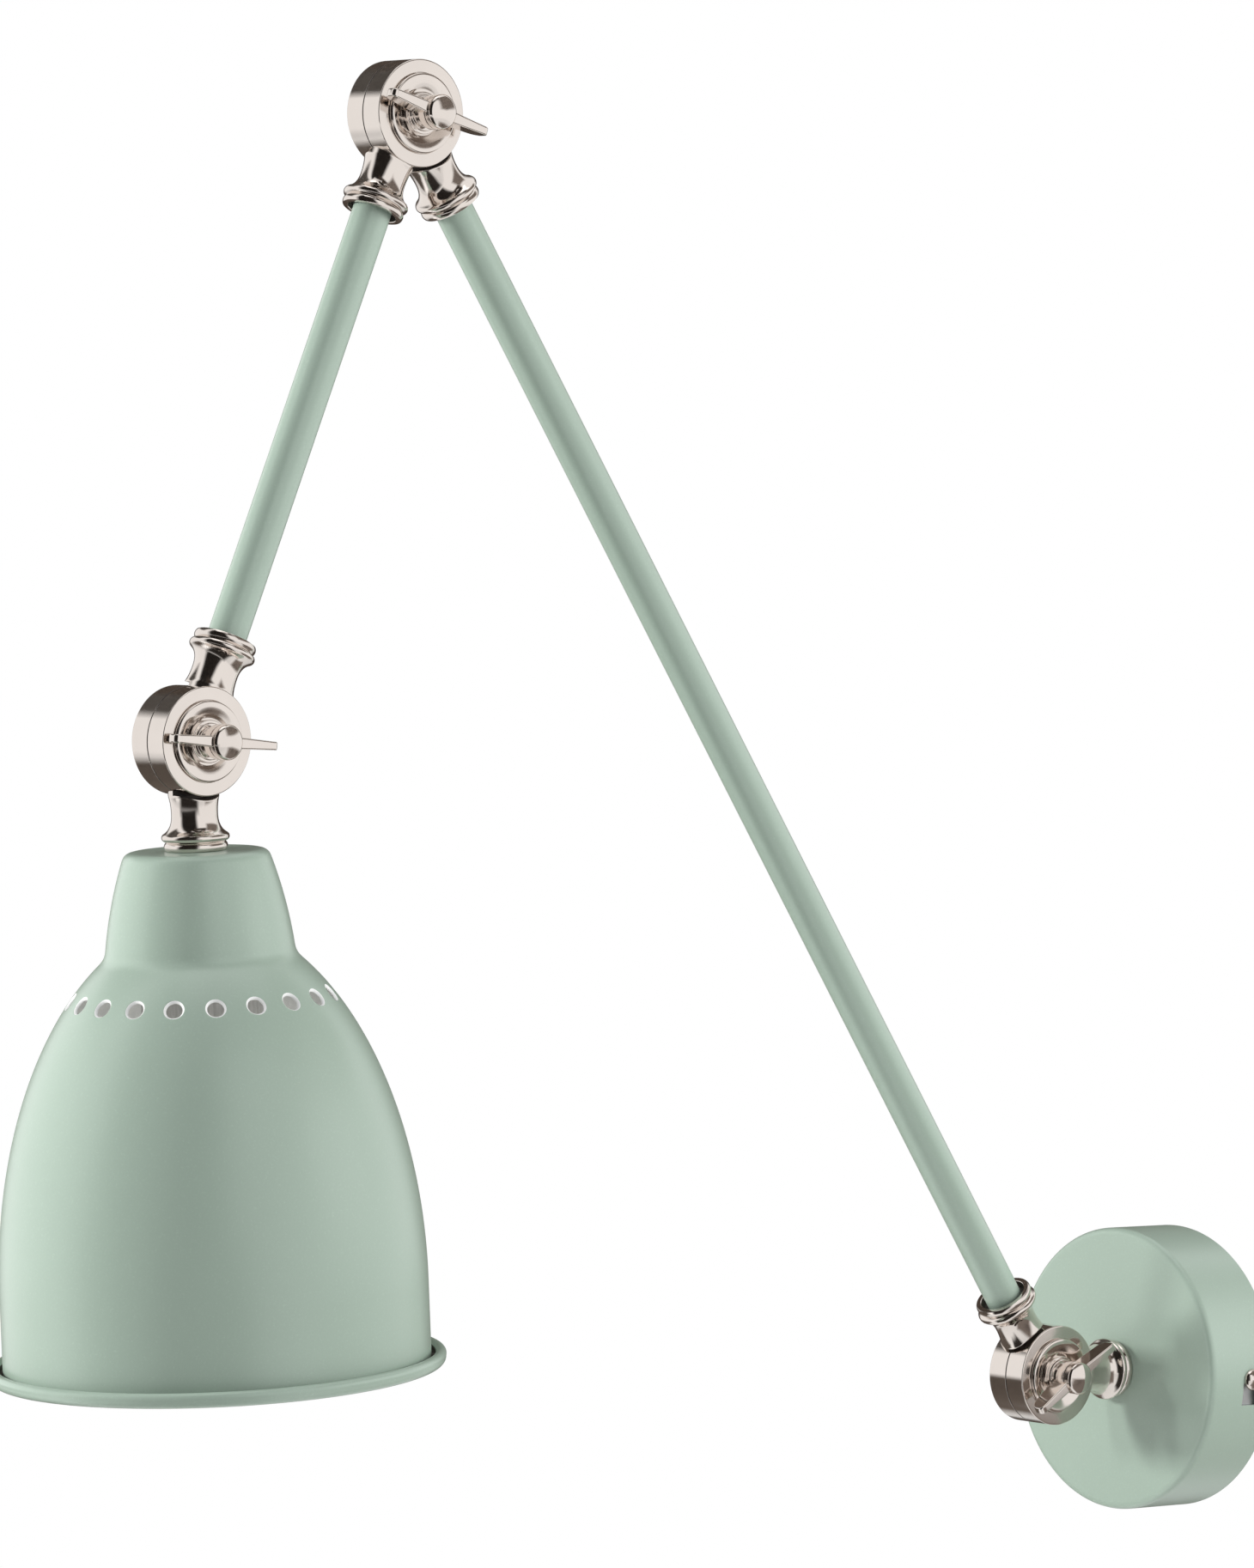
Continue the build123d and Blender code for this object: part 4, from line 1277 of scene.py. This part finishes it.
def build_skirt(sizes, top, bottom, place, finishes):
    """Skirt of the lampholder, with a ribbed grip and a beaded mouth."""
    outer, inner = sizes.radius, sizes.radius - sizes.wall
    opening = sizes.bore + 1.4 * MM
    ribs, rib_depth = 48, 0.45 * MM
    segments = ribs * 8
    smooth, ribbed = 0, 1
    side = [
        (inner, top + 0.1 * MM, smooth),
        (outer - 0.35 * MM, top + 0.1 * MM, smooth),
        (outer, top + 0.5 * MM, smooth),
        (outer, top + 4 * MM, smooth),
        (outer, top + 4.8 * MM, ribbed),
        (outer, bottom - 5.2 * MM, ribbed),
        (outer, bottom - 4.4 * MM, smooth),
        (outer, bottom - 3 * MM, smooth),
        (outer + 0.75 * MM, bottom - 2.2 * MM, smooth),
        (outer + 0.8 * MM, bottom - 0.7 * MM, smooth),
        (outer + 0.5 * MM, bottom - 0.15 * MM, smooth),
        (outer, bottom, smooth),
        (opening + 0.3 * MM, bottom, smooth),
        (opening, bottom - 0.3 * MM, smooth),
        (opening, bottom - sizes.wall, smooth),
        (inner, bottom - sizes.wall, smooth),
    ]
    rows = []
    for radius, height, grip in side:
        row = []
        for segment in range(segments):
            turn = 2 * pi * segment / segments
            depth = grip * rib_depth * (0.5 - 0.5 * cos(ribs * turn)) ** 2
            row.append(polar(radius - depth, turn, height))
        rows.append(row)
    skirt = Shape()
    skirt.grid(rows, around=True, close_rows=True)
    skirt.build("lampholder_skirt_ribbed", place, finishes, "shade_head", ["lampholder_skirt"])


class WALLLAMP_OT_lampholder(bpy.types.Operator):
    """Build the lampholder: cap, ribbed skirt and rolled screw shell"""

    bl_idname = "wall_lamp.lampholder"
    bl_label = "Lampholder"

    def execute(self, context):
        lamp = context.scene.wall_lamp
        sizes = lamp.holder
        cap_top = lamp.knuckle.neck_length + lamp.shade.wall + 4.2 * MM
        cap_bottom = cap_top + 19 * MM
        skirt_bottom = cap_bottom + 33 * MM
        shell_foot = cap_bottom + 6 * MM
        place, finishes = PLACES["shade"], [FINISHES["holder"]]
        build_cap(sizes, cap_top, cap_bottom, place, finishes)
        build_skirt(sizes, cap_bottom, skirt_bottom, place, finishes)
        build_lamp_shell(sizes, shell_foot)
        return {"FINISHED"}


# ---------------------------------------------------------------- finishes of the lamp
class WALLLAMP_OT_finishes(bpy.types.Operator):
    """Mix the finishes and put them on the nodes that stay"""

    bl_idname = "wall_lamp.finishes"
    bl_label = "Finishes"

    def execute(self, context):
        tones = context.scene.wall_lamp.finish
        FINISHES["enamel"] = powder_coat("sage_powder_coat", "sage_enamel", tones.enamel, 1.0)
        FINISHES["lining"] = powder_coat("white_lining", "sage_enamel", tones.lining, 0.6)
        # Lining round the vents, painted lighter than the lining as a painted highlight.
        FINISHES["vent_edge"] = powder_coat("vent_lining_and_painted_highlight", "sage_enamel", tones.vent_edge, 0.6)
        FINISHES["nickel"] = nickel("satin_nickel_plate", "satin_nickel", tones.nickel)
        # Near-black painted shade for seams, saddles, sockets and the hem's groove, on dull metal.
        FINISHES["seam"] = moulding("seam_painted_shade", "satin_nickel", tones.seam, 0.5, 800)
        FINISHES["zinc"] = plated_steel("zinc_plated_steel", "zinc_steel", tones.zinc)
        FINISHES["brass"] = brass("drawn_brass", "brass", tones.brass)
        FINISHES["holder"] = moulding("pale_holder", "white_moulding", tones.holder, 0.32, 900)
        FINISHES["ceramic"] = moulding("glazed_ceramic", "white_porcelain", tones.ceramic, 0.14, 300)
        FINISHES["fibre"] = moulding("pressed_fibre", "fibre", tones.fibre, 0.75, 1600)
        FINISHES["block"] = moulding("white_terminal_block", "white_moulding", tones.ceramic, 0.4, 700)
        worn_by = {
            "zinc": [
                "wall_bracket",
                "terminal_fixing_screws",
                "canopy_nipple",
                "canopy_lock_washer",
                "canopy_lock_nut",
                "shade_nipple",
                "shade_lock_washer",
                "shade_lock_nut",
            ],
            "brass": ["terminal_screws", "earth_screw", "centre_contact"],
            "fibre": ["base_friction_washer", "elbow_friction_washer", "shade_friction_washer"],
            "ceramic": ["lampholder_insulator"],
            "block": ["terminal_block"],
        }
        for finish, nodes in worn_by.items():
            for node in nodes:
                slots = frame["nodes"][node].material_slots
                if not slots:
                    raise RuntimeError(f"{node} has no material slot")
                for slot in slots:
                    slot.material = FINISHES[finish]
        return {"FINISHED"}


# ---------------------------------------------------------------- stage
def softbox(name, place, aim, size, power, in_gloss=True):
    """Soft lamp that looks at a point; in_gloss tells whether gloss shows it."""
    light = bpy.data.lights.new(name, "AREA")
    light.shape = "RECTANGLE"
    light.size, light.size_y = size
    light.energy = power
    holder = bpy.data.objects.new(name, light)
    holder.visible_glossy = in_gloss
    holder.location = place
    holder.rotation_euler = (Vector(aim) - Vector(place)).to_track_quat("-Z", "Y").to_euler()
    bpy.context.scene.collection.objects.link(holder)


def seen_directly(board):
    """One for camera, gloss and glass rays, and nought for all others."""
    kinds = ("Is Camera Ray", "Is Glossy Ray", "Is Transmission Ray")
    camera, gloss, glass = [board.node("ShaderNodeLightPath", output=kind) for kind in kinds]
    return board.node("ShaderNodeMath", {"operation": "MINIMUM"}, {0: camera + gloss + glass, 1: 1.0})


def stage_mesh(name, shape, material):
    """Turns a shape into a stage object."""
    mesh = bpy.data.meshes.new(name)
    mesh.from_pydata([tuple(point) for point in shape.points], [], shape.faces)
    mesh.materials.append(material)
    thing = bpy.data.objects.new(name, mesh)
    bpy.context.scene.collection.objects.link(thing)
    return thing


def dark_card(name, middle, reach, turns, heights, tone):
    """Curved dark card with feathered edges that only gloss sees; ranges are in degrees."""
    across, up = 32, 24
    feathered = 0.16
    rows, cover = [], []
    for step in range(up + 1):
        height = radians(heights[0] + (heights[1] - heights[0]) * step / up)
        row = []
        for part in range(across + 1):
            turn = radians(turns[0] + (turns[1] - turns[0]) * part / across)
            direction = Vector((cos(height) * cos(turn), cos(height) * sin(turn), sin(height)))
            row.append(middle + reach * direction)
            margin = min(part / across, 1 - part / across, step / up, 1 - step / up)
            cover.append(min(1.0, margin / feathered))
        rows.append(row)
    shape = Shape()
    shape.grid(rows)
    board = Board(bpy.data.materials.new(name + "_cloth"))
    weave = board.noise(60, 3)
    colour = board.blend(weave, tinted(tone, 0.8), tinted(tone, 1.2))
    feather = board.node("ShaderNodeAttribute", {"attribute_name": "cover"}, output="Fac")
    dull = {"Roughness": 1.0, "Specular IOR Level": 0.0}
    card = stage_mesh(name, shape, board.finish({"Base Color": colour, "Alpha": feather, **dull}))
    card.data.attributes.new("cover", "FLOAT", "POINT").data.foreach_set("value", cover)
    card.visible_camera = False
    card.visible_diffuse = False
    card.visible_shadow = False


def lay_floor(sizes):
    """Round paper floor that fades into the white surroundings."""
    rings, spokes, hole = 10, 64, 0.02
    turns = [2 * pi * spoke / spokes for spoke in range(spokes)]
    rows = []
    for ring in range(rings + 1):
        radius = hole + (sizes.floor_reach - hole) * ring / rings
        rows.append([polar(radius, turn, 0) for turn in turns])
    shape = Shape()
    shape.grid(rows, around=True)
    shape.cap(rows[0])
    board = Board(bpy.data.materials.new("studio_paper"))
    grain = board.noise(35, 4)
    tone = board.blend(grain, (0.80, 0.80, 0.79, 1), (0.84, 0.84, 0.83, 1))
    paper = board.node("ShaderNodeBsdfPrincipled", {}, {"Base Color": tone, "Roughness": 0.9})
    white = board.node("ShaderNodeEmission", {}, {"Color": (1, 1, 1, 1), "Strength": 1.0})
    away = board.node("ShaderNodeVectorMath", {"operation": "LENGTH"}, {0: board.place()}, "Value")
    fade = board.node(
        "ShaderNodeMapRange",
        {"interpolation_type": "SMOOTHSTEP"},
        {"Value": away, "From Min": 0.9, "From Max": sizes.floor_reach},
    )
    share = fade * seen_directly(board)
    mixed = board.node("ShaderNodeMixShader", {}, {"Fac": share, 1: paper, 2: white})
    board.node("ShaderNodeOutputMaterial", {}, {"Surface": mixed})
    floor = stage_mesh("studio_floor", shape, board.owner)
    floor.location = (0, -0.25, -sizes.floor_drop)


def fill_air(scene):
    """White surroundings to look at, and dimmer ones to be lit by."""
    scene.world = bpy.data.worlds.new("studio_air")
    air = Board(scene.world)
    dim = air.node("ShaderNodeBackground", {}, {"Color": (0.95, 0.97, 1.0, 1), "Strength": 0.47})
    bright = air.node("ShaderNodeBackground", {}, {"Color": (1, 1, 1, 1), "Strength": 1.0})
    mixed = air.node("ShaderNodeMixShader", {}, {"Fac": seen_directly(air), 1: dim, 2: bright})
    air.node("ShaderNodeOutputWorld", {}, {"Surface": mixed})


def set_camera(scene, sizes):
    """Camera turned round the lamp, tipped down and rolled."""
    turn, tip, roll = sizes.camera_turn, sizes.camera_tip, sizes.camera_roll
    right = Vector((cos(turn), sin(turn), 0))
    back = Vector((sin(turn) * cos(tip), -cos(turn) * cos(tip), sin(tip)))
    up = right.cross(-back)
    rolled_right = right * cos(roll) + up * sin(roll)
    rolled_up = up * cos(roll) - right * sin(roll)
    data = bpy.data.cameras.new("studio_camera")
    data.lens = sizes.camera_lens
    data.sensor_width = 36
    data.sensor_fit = "AUTO"
    data.clip_start = 0.05
    data.clip_end = 50
    camera = bpy.data.objects.new("studio_camera", data)
    turned = Matrix((rolled_right, rolled_up, back)).transposed().to_4x4()
    camera.matrix_world = Matrix.Translation(Vector(sizes.camera_place)) @ turned
    scene.collection.objects.link(camera)
    scene.camera = camera


class WALLLAMP_OT_stage(bpy.types.Operator):
    """Set the floor, the soft lamps, the dark cards and the camera"""

    bl_idname = "wall_lamp.stage"
    bl_label = "Stage"

    def execute(self, context):
        scene = context.scene
        sizes = scene.wall_lamp.stage
        lay_floor(sizes)
        fill_air(scene)
        aim = (0, -0.25, 0.2)
        softbox("left_softbox", (-1.15, -1.58, 0.52), (0, -0.5, 0.1), (0.25, 0.4), 23, in_gloss=False)
        softbox("front_softbox", (-0.62, -2.12, 0.75), aim, (0.25, 0.4), 9, in_gloss=False)
        softbox("right_softbox", (1.56, 0.96, 0.92), aim, (1.4, 1.4), 32, in_gloss=False)
        softbox("top_softbox", (0.3, -0.6, 2.2), aim, (1.2, 1.2), 3)
        black, brown, grey = (0.03, 0.026, 0.023), (0.07, 0.055, 0.045), (0.20, 0.17, 0.15)
        cards = [
            ("card_behind_camera", 3.4, (-112, -24), (-30, 80), black),
            ("card_low_front", 0.8, (-112, -24), (-78, -4), black),
            ("card_overhead", 3.2, (-60, 25), (42, 80), brown),
            ("card_behind_lamp", 1.4, (100, 182), (-45, 52), brown),
            ("card_above", 2.5, (140, 236), (24, 72), (0.12, 0.11, 0.10)),
            ("card_below", 0.93, (140, 236), (-60, -18), (0.12, 0.10, 0.085)),
            ("card_right_high", 1.1, (0, 96), (20, 66), grey),
            ("card_right_low", 0.8, (0, 96), (-66, -14), grey),
        ]
        for name, reach, turns, heights, tone in cards:
            dark_card(name, Vector(aim), reach, turns, heights, tone)
        set_camera(scene, sizes)
        scene.view_settings.view_transform = "Standard"
        return {"FINISHED"}


class WALLLAMP_PT_panel(bpy.types.Panel):
    """Lists the builders of the wall lamp"""

    bl_idname = "WALLLAMP_PT_panel"
    bl_label = "Wall Lamp"
    bl_space_type = "VIEW_3D"
    bl_region_type = "UI"
    bl_category = "Wall Lamp"

    def draw(self, context):
        for builder in BUILDERS:
            self.layout.operator(builder.bl_idname)


BUILDERS = (
    WALLLAMP_OT_stage,
    WALLLAMP_OT_finishes,
    WALLLAMP_OT_canopy,
    WALLLAMP_OT_knuckles,
    WALLLAMP_OT_wing_screws,
    WALLLAMP_OT_arms,
    WALLLAMP_OT_shade,
    WALLLAMP_OT_lampholder,
)
SETTINGS = (
    FinishSettings,
    KnuckleSettings,
    ShadeSettings,
    ArmSettings,
    CanopySettings,
    HolderSettings,
    StageSettings,
    LampSettings,
)


def register():
    """Registers the settings, the builders and the panel."""
    for group in SETTINGS + BUILDERS + (WALLLAMP_PT_panel,):
        bpy.utils.register_class(group)
    bpy.types.Scene.wall_lamp = bpy.props.PointerProperty(type=LampSettings)


def unregister():
    """Removes the settings, the builders and the panel."""
    del bpy.types.Scene.wall_lamp
    for group in reversed(SETTINGS + BUILDERS + (WALLLAMP_PT_panel,)):
        bpy.utils.unregister_class(group)


def main():
    """Builds the lamp piece by piece."""
    register()
    bpy.ops.wall_lamp.stage()
    bpy.ops.wall_lamp.finishes()
    bpy.ops.wall_lamp.canopy()
    bpy.ops.wall_lamp.knuckles()
    bpy.ops.wall_lamp.wing_screws()
    bpy.ops.wall_lamp.arms()
    bpy.ops.wall_lamp.shade()
    bpy.ops.wall_lamp.lampholder()


if __name__ == "__main__":
    main()
